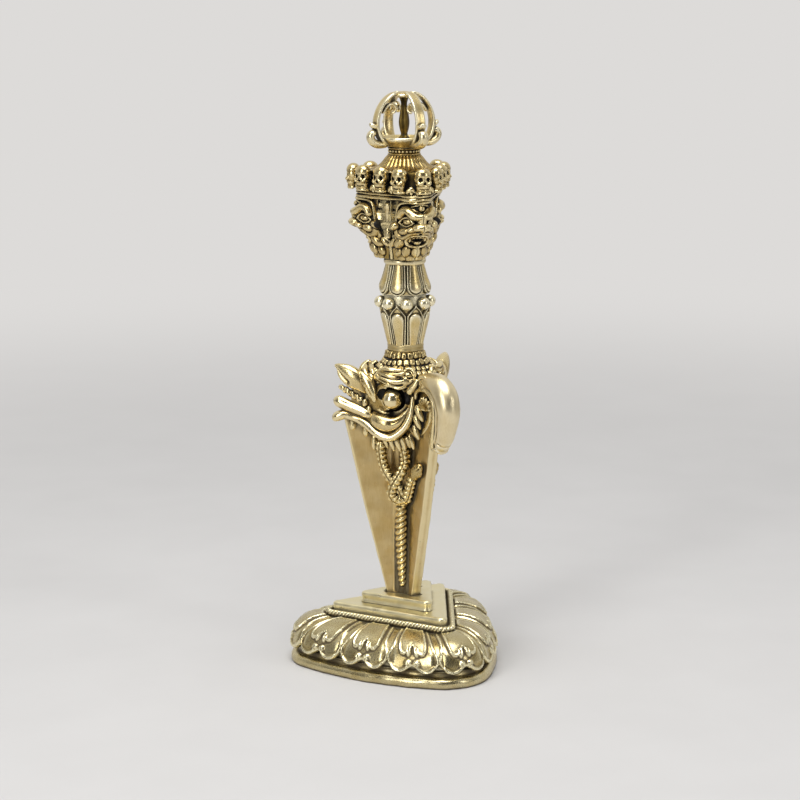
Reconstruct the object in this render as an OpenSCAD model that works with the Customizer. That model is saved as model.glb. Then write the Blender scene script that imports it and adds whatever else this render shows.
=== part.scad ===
// Phurba, a three-sided ritual dagger of cast brass, standing in its lotus stand.
// Millimetres, +Z up. The origin is on the table, under the blade's axis.
// The vane that carries the trunk faces -Y. The stand, the blade and the monster's head are
// alike on both sides of X = 0, and the grip, the three heads and the crown are turned a little.

/* [Foot of the stand] */
// Distance of the three corner centres of the stand from the axis
corner_spread = 14.6; // [13:0.2:17]
// Radius of the foot plate's corners
foot_round = 9.9; // [9:0.1:12]
// How far the foot's sides bow outwards
foot_bow = 1.9; // [0.5:0.1:2.5]
// Thickness of the foot plate
foot_h = 2.2; // [1.5:0.1:3]
// Height of the hollow above the foot plate
hollow_h = 1.1; // [0.8:0.1:1.5]
// How far the hollow draws in from the foot plate
hollow_depth = 1.5; // [1:0.1:2.5]

/* [Lotus course] */
// Petals round the stand, one at each corner
lotus_petals = 12; // [9:3:15]
// Height of the petal course
course_h = 6.4; // [5:0.2:8]
// Height of a petal over the slope
petal_swell = 0.9; // [0.5:0.1:1.3]
// Height of the inner leaf over its petal
leaf_rise = 0.45; // [0.2:0.05:0.7]
// Thickness of the twisted wire above the petals
wire_d = 1.1; // [0.7:0.1:1.4]

/* [Steps of the stand] */
// Radius of the steps' upright edges
step_round = 1.2; // [0.8:0.1:2]
// Height of the lower step
lower_step_h = 2.8; // [2:0.1:4]
// Height of the upper step
upper_step_h = 2.2; // [1.5:0.1:3]
// Width of the ledge between the two steps
ledge_w = 3; // [2.2:0.1:3.6]
// Radius of the steps' top edges
step_edge = 0.6; // [0.3:0.1:0.9]

/* [Blade] */
// Reach of a vane from the axis, where the blade enters the head
vane_reach = 13; // [11.5:0.25:14.5]
// Reach of a vane from the axis, at the mouth of the socket
socket_reach = 4.1; // [3.5:0.1:5]
// Thickness of a vane
vane_t = 2.2; // [1.8:0.1:2.8]
// Length of the blade above the mouth of the socket
blade_l = 38.5; // [34:0.5:44]
// Depth of the blade's shoulders inside the head
blade_hold = 4.2; // [3:0.2:5]
// Room left between the blade and its socket
socket_gap = 0.3; // [0.2:0.05:0.5]

/* [Serpents] */
// Thickness of a serpent's body
serpent_d = 2.1; // [1.4:0.1:2.3]

/* [Water monster's head] */
// Height of the head
head_h = 13.6; // [12:0.2:16]
// How far the blade's side vanes stand out past the cheeks
vane_show = 1.6; // [1:0.1:2.6]
// Diameter of an eyeball
eye_d = 4.1; // [3:0.1:5]
// Width of the trunk at its widest
trunk_w = 5; // [4:0.1:6]
// How far the trunk's bend stands out past its vane
trunk_out = 4.2; // [3.6:0.1:5]
// Thickness of the lip strip
lip_d = 1.7; // [1.2:0.1:2.2]
// Rows of scales on the neck
scale_rows = 4; // [3:1:6]
// Height of the scaled neck
neck_h = 4; // [3:0.2:6]

/* [Grip] */
// Petals round the grip
grip_petals = 8; // [6:1:10]
// Height of the filed ring under the grip
filed_ring_h = 1.5; // [1:0.1:2.5]
// Radius of the filed ring
filed_ring_r = 3.7; // [3.5:0.1:4.5]
// Height of the lower petals
lower_grip_h = 7.3; // [6:0.2:9]
// Height of the bead ring
bead_ring_h = 3.3; // [2.6:0.1:4]
// Height of the upper petals
upper_grip_h = 5.9; // [5:0.1:8]
// Radius of the grip next to the beads
grip_r = 5.35; // [4.8:0.1:6]
// Radius of the grip at its upper end
grip_top_r = 4; // [3.5:0.1:4.5]
// Diameter of a bead
bead_d = 2.6; // [1.8:0.1:2.8]
// Turn of the grip's petals against the blade, in degrees
grip_turn = -4; // [-10:1:10]
// Height of the ring under the three heads
chin_ring_h = 1.3; // [0.8:0.1:1.5]

/* [Three heads] */
// Height of the three heads
heads_h = 12.4; // [11:0.2:15]
// Reach of the heads' corners at the brow
brow_reach = 10; // [9.4:0.1:10.4]
// Reach of the heads' corners at the chin
chin_reach = 6.2; // [5.4:0.1:7]
// Turn of the three heads and the crown against the blade, in degrees
head_turn = -10; // [-14:1:14]
// Distance from the axis to the flat that each face is fixed to
face_seat = 3.2; // [2.8:0.1:3.8]
// Width of the bone rod between two faces
rod_d = 1.3; // [1:0.1:1.6]
// Distance from the axis to the flat that each bone rod is fixed to
rod_seat = 4.5; // [4.2:0.1:4.7]

/* [Skull crown] */
// Height of the crown's ridged band
band_h = 1.6; // [1.2:0.1:2.2]
// Height of the crown behind the skulls
crown_h = 5.4; // [4.8:0.2:7]
// Distance of the crown's corner centres from the axis
crown_spread = 6.5; // [6:0.1:7.5]
// Radius of the crown's corners behind the skulls
crown_round = 3.2; // [2.6:0.1:3.8]
// Width of a skull
skull_w = 3.4; // [2.8:0.1:3.6]
// Distance between the skulls of one side
skull_pitch = 4.8; // [4.2:0.1:5]

/* [Half vajra] */
// Height of the cone of drawn-up hair
hair_h = 2.8; // [2.4:0.1:3.4]
// Strands round the hair
hair_strands = 26; // [20:2:36]
// Radius of the collar
collar_r = 3.4; // [3:0.1:4]
// Height of the collar
collar_h = 1.6; // [1.2:0.1:2.4]
// Height of the prongs' cage
cage_h = 11.5; // [10:0.25:14]
// Reach of a prong from the axis
cage_r = 6.5; // [5.5:0.1:7.5]
// Width of a prong
prong_w = 2.3; // [1.6:0.1:2.8]

/* [Hidden] */

brass = "#B5974F";
dark_brass = "#A08544";
bright_brass = "#C6A962";
stand_brass = "#B39C58";
$fn = 32;

// Heights of the seats, from the table up
hollow_z = foot_h;
course_z = hollow_z + hollow_h;
lower_step_z = course_z + course_h;
upper_step_z = lower_step_z + lower_step_h;
socket_z = upper_step_z + upper_step_h;
tip_z = course_z + socket_gap;
blade_top_z = socket_z + blade_l;
head_low_z = blade_top_z - blade_hold;
neck_z = head_low_z + head_h;
filed_ring_z = neck_z + neck_h;
lower_grip_z = filed_ring_z + filed_ring_h;
bead_ring_z = lower_grip_z + lower_grip_h;
upper_grip_z = bead_ring_z + bead_ring_h;
chin_ring_z = upper_grip_z + upper_grip_h;
heads_z = chin_ring_z + chin_ring_h;
band_z = heads_z + heads_h;
crown_z = band_z + band_h;
cup_drop = 1.1;
hair_z = crown_z + crown_h - cup_drop;
collar_z = hair_z + hair_h;
cage_z = collar_z + collar_h;

// A vane's corner faces +X here, and this turns it to its place on the dagger
vane_turn = [-90, 30, 150];

function unit(v) = v / norm(v);
function mix(a, b, t) = a + (b - a) * t;
function turned(p, a) = [p.x * cos(a) - p.y * sin(a), p.x * sin(a) + p.y * cos(a), p.z];

// Closed skin over stacked rings that run anticlockwise seen from the last ring
module skin(rings) {
    n = len(rings[0]);
    m = len(rings);
    function centre(r) = [for (p = r) 1] * r / len(r);
    low = n * m;
    polyhedron(
        points = concat([for (r = rings) each r], [centre(rings[0]), centre(rings[m - 1])]),
        faces = concat(
            [for (i = [0 : m - 2], j = [0 : n - 1])
                let (a = i * n + j, b = i * n + (j + 1) % n)
                each [[a, a + n, b + n], [a, b + n, b]]],
            [for (j = [0 : n - 1]) [low, j, (j + 1) % n]],
            [for (j = [0 : n - 1]) [low + 1, n * (m - 1) + (j + 1) % n, n * (m - 1) + j]]
        )
    );
}

// Skin of a block with a hole: its rings go up the outside and come back down the hole
module pierced(rings) {
    n = len(rings[0]);
    m = len(rings);
    polyhedron(
        points = [for (r = rings) each r],
        faces = [for (i = [0 : m - 1], j = [0 : n - 1])
            let (a = i * n + j, b = i * n + (j + 1) % n,
                c = (i + 1) % m * n + j, d = (i + 1) % m * n + (j + 1) % n)
            each [[a, c, d], [a, d, b]]]
    );
}

// Smooth line through hand-set points, each [x, y, z, size]
function line_point(p, i, t) = let (
    a = p[max(i - 1, 0)], b = p[i], c = p[i + 1], d = p[min(i + 2, len(p) - 1)]
) 0.5 * (2 * b + (c - a) * t + (2 * a - 5 * b + 4 * c - d) * t * t
    + (3 * b - a - 3 * c + d) * t * t * t);
function smooth(p, steps) = concat(
    [for (i = [0 : len(p) - 2], k = [0 : steps - 1]) line_point(p, i, k / steps)],
    [p[len(p) - 1]]);
function place(p) = [p[0], p[1], p[2]];
function heading(p, i) = unit(place(p[min(i + 1, len(p) - 1)]) - place(p[max(i - 1, 0)]));
function side_on(side, t) = unit(side - t * (side * t));

// Rings round a line. side is where the ring's first axis points at the start,
// wide and thick stretch the ring along that axis and across it.
function rings_along(p, sides, side, wide, thick, i = 0) = i == len(p) ? [] : let (
    t = heading(p, i), n = side_on(side, t), b = cross(t, n)
) concat([[for (j = [0 : sides - 1]) let (a = 360 * (j + 0.5) / sides)
    place(p[i]) + p[i][3] * (n * wide * cos(a) + b * thick * sin(a))]],
    rings_along(p, sides, n, wide, thick, i + 1));
module strand(points, steps = 4, sides = 8, side = [0, 0, 1], wide = 1, thick = 1) {
    skin(rings_along(smooth(points, steps), sides, side, wide, thick));
}

// Outline of a three-cornered plate with round corners and bowed sides.
// f goes once round from the corner on +X, and gives the point and the way outwards.
// A side is a shallow arc that meets the corners' arcs without a kink.
function side_turn(spread, bow) = 2 * atan(max(bow, 0.001) / (spread * sin(60)));
function side_r(spread, r, bow) = r + spread * sin(60) / sin(side_turn(spread, bow));
function arc_l(r, a) = r * a * PI / 180;
function third(spread, r, bow) = let (b = side_turn(spread, bow))
    2 * arc_l(r, 60 - b) + arc_l(side_r(spread, r, bow), 2 * b);
function edge_angle(spread, r, bow, s) = let (
    b = side_turn(spread, bow), big = side_r(spread, r, bow),
    corner = arc_l(r, 60 - b), side = arc_l(big, 2 * b)
) s < corner ? s / arc_l(r, 1) : s < corner + side ? 60 - b + (s - corner) / arc_l(big, 1)
    : 60 + b + (s - corner - side) / arc_l(r, 1);
function edge_point(spread, r, bow, s) = let (
    b = side_turn(spread, bow), big = side_r(spread, r, bow), a = edge_angle(spread, r, bow, s),
    out = [cos(a), sin(a), 0]
) a < 60 - b ? [spread, 0, 0] + r * out
    : a <= 60 + b ? (spread / 2 - (big - r) * cos(b)) * [cos(60), sin(60), 0] + big * out
    : turned([spread, 0, 0], 120) + r * out;
function edge(spread, r, bow, f) = let (k = floor(f * 3), s = (f * 3 - k) * third(spread, r, bow))
    turned(edge_point(spread, r, bow, s), 120 * k);
function outward(spread, r, bow, f) = let (k = floor(f * 3),
    s = (f * 3 - k) * third(spread, r, bow)) 120 * k + edge_angle(spread, r, bow, s);
function tier(spread, r, bow, z, n) = [for (j = [0 : n - 1])
    edge(spread, r, bow, j / n) + [0, 0, z]];

// Section of the three-vaned blade from the middle of a vane's edge round,
// with room all round it
vane_root = 2.6;
groove_r = 1.9;
function vane_corners(reach, half_t, room) = let (
    root = min(vane_root, 0.7 * reach), groove = min(groove_r, 0.62 * reach) + room,
    far = reach + room, half = half_t + room
) [for (k = [0 : 2]) each [for (p = [[far, 0, 0], [far, half, 0], [root, half, 0],
    groove * [cos(60), sin(60), 0], turned([root, -half, 0], 120), turned([far, -half, 0], 120)])
    turned(p, 120 * k)]];
tip_reach = 1.4;
tip_t = 1.3;
// [height, reach, half thickness] of the blade, from its tip
blade_stations = [
    [tip_z, tip_reach, tip_t / 2],
    [socket_z, socket_reach, vane_t / 2],
    [mix(socket_z, blade_top_z, 0.5), mix(socket_reach, vane_reach, 0.53), vane_t / 2],
    [blade_top_z, vane_reach, vane_t / 2]];
module blade_form() {
    rotate(vane_turn[0]) skin([for (s = blade_stations)
        [for (p = vane_corners(s[1], s[2], 0)) p + [0, 0, s[0]]]]);
}

// Ring of the socket, with slot_points times parts points
vane_steps = [1, 2, 2, 2, 2, 1];
slot_points = 3 * (vane_steps * [for (s = vane_steps) 1]);
function slot_ring(z, parts) = let (
    reach = lookup(z, [for (s = blade_stations) [s[0], s[1]]]),
    half_t = lookup(z, [for (s = blade_stations) [s[0], s[2]]]),
    c = vane_corners(reach, half_t, socket_gap)
) [for (i = [0 : len(c) - 1]) let (n = vane_steps[i % 6] * parts) for (k = [0 : n - 1])
    mix(c[i], c[(i + 1) % len(c)], k / n) + [0, 0, z]];

// Stand
plate_points = 36;
// How far the hollow curves in at half its height, and the course's underside behind it
hollow_curve = 0.3;
under_inset = 0.6;
module foot_plate() {
    lip = 0.7;
    color(stand_brass) rotate(vane_turn[0]) skin([
        tier(corner_spread, foot_round - lip / 2, foot_bow, 0, plate_points),
        tier(corner_spread, foot_round, foot_bow, lip / 2, plate_points),
        tier(corner_spread, foot_round, foot_bow, foot_h - lip, plate_points),
        tier(corner_spread, foot_round - lip, foot_bow, foot_h, plate_points),
        tier(corner_spread, foot_round - hollow_depth, foot_bow, foot_h, plate_points),
        tier(corner_spread, foot_round - hollow_depth - hollow_curve, foot_bow,
            foot_h + hollow_h / 2, plate_points),
        tier(corner_spread, foot_round - hollow_depth, foot_bow, course_z, plate_points)]);
}

// The petals bulge from the slope, and each carries a heart-shaped inner leaf
petal_columns = 10;
wire_round = step_round + wire_d / 2;
course_top_round = wire_round + 0.7;
// The petals' bellies stand out past the foot plate
belly = 0.6;
petal_round = foot_round + belly;
// [share of the slope, share of the way in, share of the height]
slope = [[0, 0.01, 0.02], [0.14, 0, 0.22], [0.4, 0.12, 0.5], [0.68, 0.36, 0.77],
    [0.9, 0.7, 0.94]];
function across(f) = let (g = f * lotus_petals + 0.5) 2 * (g - floor(g)) - 1;
function leaf(u, v) = abs(u) < 0.5 && v > 0.2 && v < 0.9 ? leaf_rise : 0;
function swell(u, v) = petal_swell * (1 - pow(abs(u), 4)) * (0.5 + 0.5 * sin(180 * min(v + 0.3, 1)));
function scallop(u) = 0.75 * abs(cos(180 * u)) * (0.5 + 0.5 * abs(u));
module lotus_course() {
    n = lotus_petals * petal_columns;
    parts = n / slot_points;
    function petal_ring(s) = [for (j = [0 : n - 1]) let (
        f = j / n, u = across(f), h = swell(u, s[0]) + leaf(u, s[0]), bow = foot_bow * (1 - s[0]),
        round = mix(petal_round, course_top_round, s[1]), a = outward(corner_spread, round, bow, f)
    ) edge(corner_spread, round - petal_swell, bow, f) + h * [cos(a), sin(a), 0.5]
        + [0, 0, course_z + s[2] * course_h + (s[0] == 0 ? scallop(u) : 0)]];
    color(stand_brass) rotate(vane_turn[0]) pierced(concat(
        [tier(corner_spread, foot_round - hollow_depth - under_inset, foot_bow, course_z, n)],
        [for (s = slope) petal_ring(s)],
        [tier(corner_spread, course_top_round, 0, lower_step_z, n)],
        [slot_ring(lower_step_z, parts), slot_ring(course_z, parts)]));
}

// Twisted wire laid round the foot of the lower step, its lay left plain
wire_sides = 5;
module twisted_wire() {
    n = slot_points;
    function section(f) = let (a = outward(corner_spread, wire_round, 0, f))
        [for (j = [0 : wire_sides - 1]) let (t = 360 * j / wire_sides, r = wire_d / 2)
            edge(corner_spread, wire_round, 0, f)
            + [r * cos(t) * cos(a), r * cos(t) * sin(a), lower_step_z + r + r * sin(t)]];
    color(bright_brass) rotate(vane_turn[0]) polyhedron(
        points = [for (i = [0 : n - 1]) each section(i / n)],
        faces = [for (i = [0 : n - 1], j = [0 : wire_sides - 1]) let (
            a = i * wire_sides + j, b = i * wire_sides + (j + 1) % wire_sides,
            c = (i + 1) % n * wire_sides + j,
            d = (i + 1) % n * wire_sides + (j + 1) % wire_sides
        ) each [[a, b, d], [a, d, c]]]);
}

step_inset = 0.3;
module step_block(spread, z, h) {
    n = slot_points;
    rotate(vane_turn[0]) pierced([
        tier(spread, step_round, 0, z, n),
        tier(spread, step_round, 0, z + h - step_edge, n),
        tier(spread, step_round - step_edge * 0.3, 0, z + h - step_edge * 0.3, n),
        tier(spread, step_round - step_edge, 0, z + h, n),
        slot_ring(z + h, 1),
        slot_ring(z, 1)]);
}
module lower_step() {
    color(stand_brass) step_block(corner_spread - step_inset, lower_step_z, lower_step_h);
}
module upper_step() {
    color(stand_brass) step_block(corner_spread - step_inset - 2 * ledge_w, upper_step_z,
        upper_step_h);
}

// Blade
module blade() {
    color(bright_brass) blade_form();
}

// Two serpents hang down a groove, cross, and one ends in a twisted tail. Each point is
// [x, y, share of the way from the stand up to the head, radius], left of the trunk.
serpent_r = serpent_d / 2;
function on_blade(points) = [for (p = points)
    [p[0], p[1], mix(socket_z, head_low_z, p[2]), p[3] * serpent_r]];
serpent_one = [
    [-3.9, -4.3, 1.01, 1], [-2.9, -4.1, 0.93, 1], [-2.4, -3.9, 0.85, 1],
    [-3.4, -3.9, 0.78, 1], [-4.4, -2.6, 0.7, 1], [-4.5, -1.9, 0.64, 1],
    [-3.4, -2.6, 0.6, 1], [-2.2, -3.7, 0.61, 1], [-2, -4.6, 0.66, 1],
    [-2, -5.6, 0.72, 0.95], [-2.1, -7, 0.78, 1.25], [-2.1, -8.2, 0.84, 1.35],
    [-2.1, -8.8, 0.88, 0.6]];
serpent_two = [
    [-6.6, -1.2, 0.98, 1], [-6.2, -0.6, 0.9, 1], [-5.6, -0.7, 0.81, 1],
    [-4.6, -1.6, 0.74, 1], [-3.2, -2.9, 0.68, 1], [-2.3, -2.9, 0.61, 1],
    [-2.3, -2.2, 0.55, 0.9]];
tail_top = [-2.35, -2, mix(socket_z, head_low_z, 0.56)];
tail_low = [-1.6, -1.3, mix(socket_z, head_low_z, 0.05)];
tail_rings = 12;
function tail_ring(i) = let (
    t = i / (tail_rings - 1), r = serpent_d * mix(0.3, 0.5, t)
) [for (a = [0 : 60 : 300]) mix(tail_low, tail_top, t)
    + r * (i % 2 == 0 ? 1 : 0.75) * [cos(a), sin(a), 0]];
module serpents() {
    difference() {
        union() {
            strand(on_blade(serpent_one), steps = 2, sides = 5, side = [1, 0, 0]);
            strand(on_blade(serpent_two), steps = 2, sides = 5, side = [1, 0, 0]);
            skin([for (i = [0 : tail_rings - 1]) tail_ring(i)]);
        }
        blade_form();
    }
}
module serpents_left() {
    color(dark_brass) serpents();
}
module serpents_right() {
    color(dark_brass) mirror([1, 0, 0]) serpents();
}
module serpents_back() {
    color(dark_brass) rotate(-120) serpents();
}

// Head of the water monster that the blade comes out of
// [share of the height, reach over a groove, over a side vane, over the trunk's vane]
cheek_reach = vane_reach - vane_show;
palate_reach = vane_reach + 1.6;
head_levels = [[0, 4.4, 0.68, 0.59], [0.12, 5.5, 0.92, 0.8], [0.32, 6.1, 1.05, 0.95],
    [0.6, 6.2, 1.05, 1], [0.8, 6.5, 0.95, 0.96], [0.94, 6.4, 0.8, 0.75],
    [1, 5.7, 0.65, 0.51]];
function head_ring(l) = [for (a = [0 : 15 : 345]) let (
    over_trunk = a < 60 || a > 300,
    lobe = pow((1 + cos(3 * a)) / 2, over_trunk ? 4 : 1.6),
    peak = over_trunk ? l[3] * palate_reach : l[2] * cheek_reach,
    r = l[1] + (peak - l[1]) * lobe
) [r * cos(a), r * sin(a), head_low_z + l[0] * head_h]];

// What dresses the head is placed over a vane, by [share of the vane's reach,
// distance off the vane's middle, share of the head's height, radius]
side_vane = vane_turn[2];
trunk_vane = vane_turn[0];
function on_vane(p) = [p[0] * vane_reach, p[1], head_low_z + p[2] * head_h];
function line_on_vane(points, size = 1) = [for (p = points) concat(on_vane(p), [p[3] * size])];
module mirrored() {
    children();
    mirror([1, 0, 0]) children();
}
module drop(a, b, r, tip) {
    hull() {
        translate(on_vane(a)) sphere(r, $fn = 5);
        translate(on_vane(b)) sphere(tip, $fn = 4);
    }
}
module ridge(points, size = 1) {
    strand(line_on_vane(points, size), steps = 2, sides = 5);
}
// Hairs under the chin hang over the groove, whose reach doesn't follow the vanes
chin_hair_out = 3.77;
chin_hair_gap = 1.17;
module head_side() {
    rotate(side_vane) {
        // Brow with its curl, lid, and the pouch under the eye
        ridge([[0.45, 4.7, 1, 0.7], [0.27, 6.8, 0.9, 1], [0.07, 7.1, 0.88, 1.1],
            [-0.09, 7.2, 0.96, 1], [-0.13, 7, 1.05, 0.8], [-0.03, 6.8, 1.07, 0.5]]);
        ridge([[-0.19, 8.1, 0.9, 0.8], [-0.1, 7.6, 0.77, 1], [-0.03, 7, 0.68, 0.5]]);
        ridge([[0.53, 4.4, 0.39, 0.5], [0.43, 5.8, 0.29, 1.5], [0.25, 6.4, 0.24, 1.9],
            [0.1, 6.5, 0.29, 1.3], [-0.04, 6.7, 0.46, 0.4]]);
        // Mane between the ear and the neck
        for (i = [0 : 2])
            drop([0.6 - 0.13 * i, 2.4 + 0.9 * i, 1.03], [0.48 - 0.11 * i, 4.1 + 0.7 * i, 0.84], 0.85, 0.6);
        // Twisted whisker over the upper lip, whose turns run into one another
        for (i = [0 : 3])
            drop([1.01 - 0.12 * i, 1.7 + 0.8 * i, 0.76 - 0.07 * i],
                [0.95 - 0.12 * i, 2 + 0.8 * i, 0.69 - 0.07 * i], 0.8, 0.8);
        // Hairs under the chin
        for (i = [0 : 2]) let (out = (chin_hair_out - chin_hair_gap * i) / vane_reach)
            drop([out, 4.3, 0.04], [out - 0.01, 3.6, -0.18], 0.7, 0.35);
    }
    rotate(trunk_vane) {
        // Beard leaves beside the vane, and the arch of the mouth over it
        for (i = [0 : 2])
            drop([0.61 - 0.07 * i, -1.8, 0.41 - 0.15 * i], [0.69 - 0.07 * i, -1.6, 0.22 - 0.15 * i],
                0.8, 0.35);
        ridge([[0.65, -1.7, 0.56, 0.5], [0.68, -2, 0.71, 0.6], [0.8, -2, 0.76, 0.6],
            [0.92, -1.9, 0.68, 0.6], [0.97, -1.7, 0.48, 0.5], [0.95, -1.5, 0.22, 0.5],
            [0.89, -1.3, -0.04, 0.8], [0.88, -1.2, -0.13, 0.4]]);
    }
}
eye_place = [0.28, 6.3, 0.6];
module makara_head() {
    color(brass) difference() {
        union() {
            rotate(trunk_vane) skin([for (l = head_levels) head_ring(l)]);
            mirrored() head_side();
        }
        mirrored() rotate(side_vane) translate(on_vane(eye_place)) {
            sphere(d = eye_d, $fn = 12);
            translate([0.5, 0.9, 0.1]) sphere(d = eye_d + 1.2, $fn = 12);
        }
        blade_form();
    }
}

// [reach past the middle of the bend, share of the head's height, share of the width]
trunk_line = [[-9.6, 0.91, 0.86], [-6.4, 0.98, 0.95], [-3.4, 0.96, 0.98], [-1.1, 0.82, 1],
    [-0.1, 0.61, 0.97], [-0.4, 0.39, 0.88], [-1.3, 0.17, 0.77], [-2.2, 0, 0.67],
    [-3.2, -0.11, 0.56], [-4.1, -0.15, 0.3]];
module makara_trunk() {
    color(bright_brass) difference() {
        rotate(trunk_vane) strand([for (p = trunk_line) [vane_reach + trunk_out + p[0], 0,
            head_low_z + p[1] * head_h, p[2] * trunk_w / 2]], steps = 2, sides = 8,
            side = [0, 1, 0], wide = 1.04);
        blade_form();
    }
}
module makara_eyes() {
    color(bright_brass) mirrored() rotate(side_vane) translate(on_vane(eye_place)) sphere(d = eye_d);
}
module makara_ears() {
    color(brass) mirrored() rotate(side_vane) {
        difference() {
            strand(line_on_vane([[1.14, 1.3, 1.08, 0.3], [1.03, 1.7, 1.01, 1.3],
                [0.84, 2.6, 0.9, 1.9], [0.65, 4, 0.75, 1.4], [0.51, 5, 0.59, 0.5]]), steps = 2);
            translate(on_vane([1.05, 3.2, 0.96])) sphere(1.3);
        }
        ridge([[0.8, 2.1, 1.03, 0.6], [0.64, 3.4, 0.93, 1], [0.51, 4.5, 0.78, 0.6]]);
    }
}
module makara_lips() {
    color(brass) mirrored() rotate(side_vane) {
        ridge([[-0.12, 7.5, 0.69, 0.6], [-0.09, 7.5, 0.43, 1], [0.04, 7.6, 0.18, 1],
            [0.23, 7.1, 0.04, 1], [0.44, 6, 0.1, 1], [0.61, 4.6, 0.21, 1], [0.79, 3.2, 0.3, 1],
            [0.97, 2.5, 0.35, 1], [1.12, 2.1, 0.31, 1], [1.13, 1.7, 0.23, 0.7]], lip_d / 2);
        ridge([[1.18, 1.5, 0.52, 0.7], [1.11, 1.8, 0.51, 1.25], [0.95, 2.5, 0.49, 1.2],
            [0.78, 3.6, 0.42, 1.1], [0.61, 4.6, 0.35, 0.6]], lip_d / 2);
    }
}
// Three teeth hang on each side vane: [share of the vane's reach, share of the head's height]
teeth = [[0.86, 0.17], [0.67, 0.07], [0.53, -0.1]];
tooth_r = 0.9;
module makara_teeth() {
    off = vane_t / 2 + 0.65 * tooth_r;
    color(brass) difference() {
        mirrored() rotate(side_vane) for (p = teeth)
            drop([p[0], off, p[1]], [p[0], off, p[1] + 0.16], tooth_r, tooth_r * 0.6);
        blade_form();
    }
}

// Rows of scales that overlap like bricks round the neck
scales_round = 12;
scale_rise = 0.45;
// How far the neck flares out over the head
neck_flare = 2.5;
neck_r = filed_ring_r + 0.2;
module scaled_neck() {
    columns = 2 * scales_round;
    function neck_ring(row, part) = let (
        t = (row + part) / scale_rows, r = neck_r + neck_flare * pow(1 - t, 2)
    ) [for (j = [0 : columns - 1]) let (a = 360 * j / columns,
        q = r + (part > 0 && (j + row) % 2 == 0 ? scale_rise : -scale_rise / 2))
        [q * cos(a), q * sin(a), neck_z + t * neck_h]];
    color(brass) skin(concat(
        [for (row = [0 : scale_rows - 1], part = [0, 0.5]) neck_ring(row, part)],
        [[for (j = [0 : columns - 1]) let (a = 360 * j / columns)
            [filed_ring_r * cos(a), filed_ring_r * sin(a), filed_ring_z]]]));
}

// Grip
module round_ring(z, h, r, bead = 0.25) {
    translate([0, 0, z]) rotate_extrude() polygon([[0, 0], [r - bead, 0], [r, bead],
        [r, h - bead], [r - bead, h], [0, h]]);
}
module filed_ring() {
    color(bright_brass) round_ring(filed_ring_z, filed_ring_h, filed_ring_r);
}

// A tongue-shaped petal is outlined by a groove, and its middle stands up again
grip_columns = 5;
function tongue(u, v) = let (
    side = 1 - pow(abs(u), 5), inner = abs(u) < 0.55 && v < 0.8 ? 0.35 : 0
) 0.75 * side * (v > 0.9 ? 0.5 : 1) + inner;
module toward_petal() {
    rotate(vane_turn[0] + grip_turn) children();
}
module petal_barrel(z, h, r_wide, r_narrow, widest_low) {
    n = grip_petals * grip_columns;
    stations = [0, 0.1, 0.3, 0.7, 0.9, 1];
    function barrel_ring(v) = let (
        t = widest_low ? 1 - v : v,
        r = mix(r_wide, r_narrow, v) - 1.05 + 0.25 * sin(180 * v)
    ) [for (j = [0 : n - 1]) let (
        a = 360 * (j + 0.5) / n, g = j / grip_columns,
        u = 2 * (g - floor(g)) + 1 / grip_columns - 1,
        q = v == 0 || v == 1 ? r + 0.5 : r + tongue(u, 1 - v)
    ) [q * cos(a), q * sin(a), 0]];
    color(bright_brass) toward_petal() rotate(-180 / grip_petals) skin([for (s = stations)
        [for (p = barrel_ring(widest_low ? s : 1 - s)) p + [0, 0, z + s * h]]]);
}
module lower_grip() {
    petal_barrel(lower_grip_z, lower_grip_h, grip_r, filed_ring_r + 0.2, false);
}
module upper_grip() {
    petal_barrel(upper_grip_z, upper_grip_h, grip_r, grip_top_r, true);
}
module bead_ring() {
    waist_r = grip_r - 0.9;
    color(brass) {
        round_ring(bead_ring_z, bead_ring_h, waist_r);
        for (i = [0 : grip_petals - 1]) toward_petal() rotate(360 * (i + 0.5) / grip_petals)
            translate([waist_r + bead_d * 0.2, 0, bead_ring_z + bead_ring_h / 2])
                sphere(d = bead_d);
    }
}
module chin_ring() {
    color(brass) round_ring(chin_ring_z, chin_ring_h, grip_top_r + 0.2, 0.35);
}

// Three heads, one over each vane, on a six-sided core
module toward_face(k) {
    rotate(vane_turn[k] + head_turn) children();
}
module core_section() {
    intersection() {
        rotate(60) circle(r = 2 * face_seat, $fn = 3);
        circle(r = 2 * rod_seat, $fn = 3);
    }
}
module head_core() {
    color(dark_brass) translate([0, 0, heads_z]) toward_face(0)
        linear_extrude(heads_h) core_section();
}

// [share of the height, reach at the face, reach at the seam between two faces]
head_plan = [[0, chin_reach, rod_seat + 0.4], [0.22, chin_reach + 0.5, rod_seat + 0.6],
    [0.36, brow_reach - 2.1, rod_seat + 1.1], [0.55, brow_reach - 0.8, rod_seat + 1.7],
    [0.8, brow_reach, rod_seat + 2], [1, brow_reach - 0.3, rod_seat + 1.9]];
head_points = 24;
// Room between a bone rod and the face beside it
rod_gap = 0.05;
module face_blank() {
    far = 2 * brow_reach;
    slot = rod_d / 2 + rod_gap;
    inner = [rod_seat * cos(60) + slot * sin(60), rod_seat * sin(60) - slot * cos(60)];
    outer = inner + far * [cos(60), sin(60)];
    flat = (rod_seat - face_seat * cos(60)) / sin(60);
    intersection() {
        skin([for (l = head_plan) let (spread = 2 * (l[1] - l[2]))
            tier(spread, l[1] - spread, 0, heads_z + l[0] * heads_h, head_points)]);
        translate([0, 0, heads_z]) linear_extrude(heads_h) polygon([
            [face_seat, -flat], [inner.x, -inner.y], [outer.x, -outer.y],
            [outer.x, outer.y], [inner.x, inner.y], [face_seat, flat]]);
    }
}
module ball(x, y, z, r) {
    translate([x, y, heads_z + z * heads_h]) sphere(r);
}
module pair(x, y, z, r) {
    ball(x, y, z, r);
    ball(x, -y, z, r);
}
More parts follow.
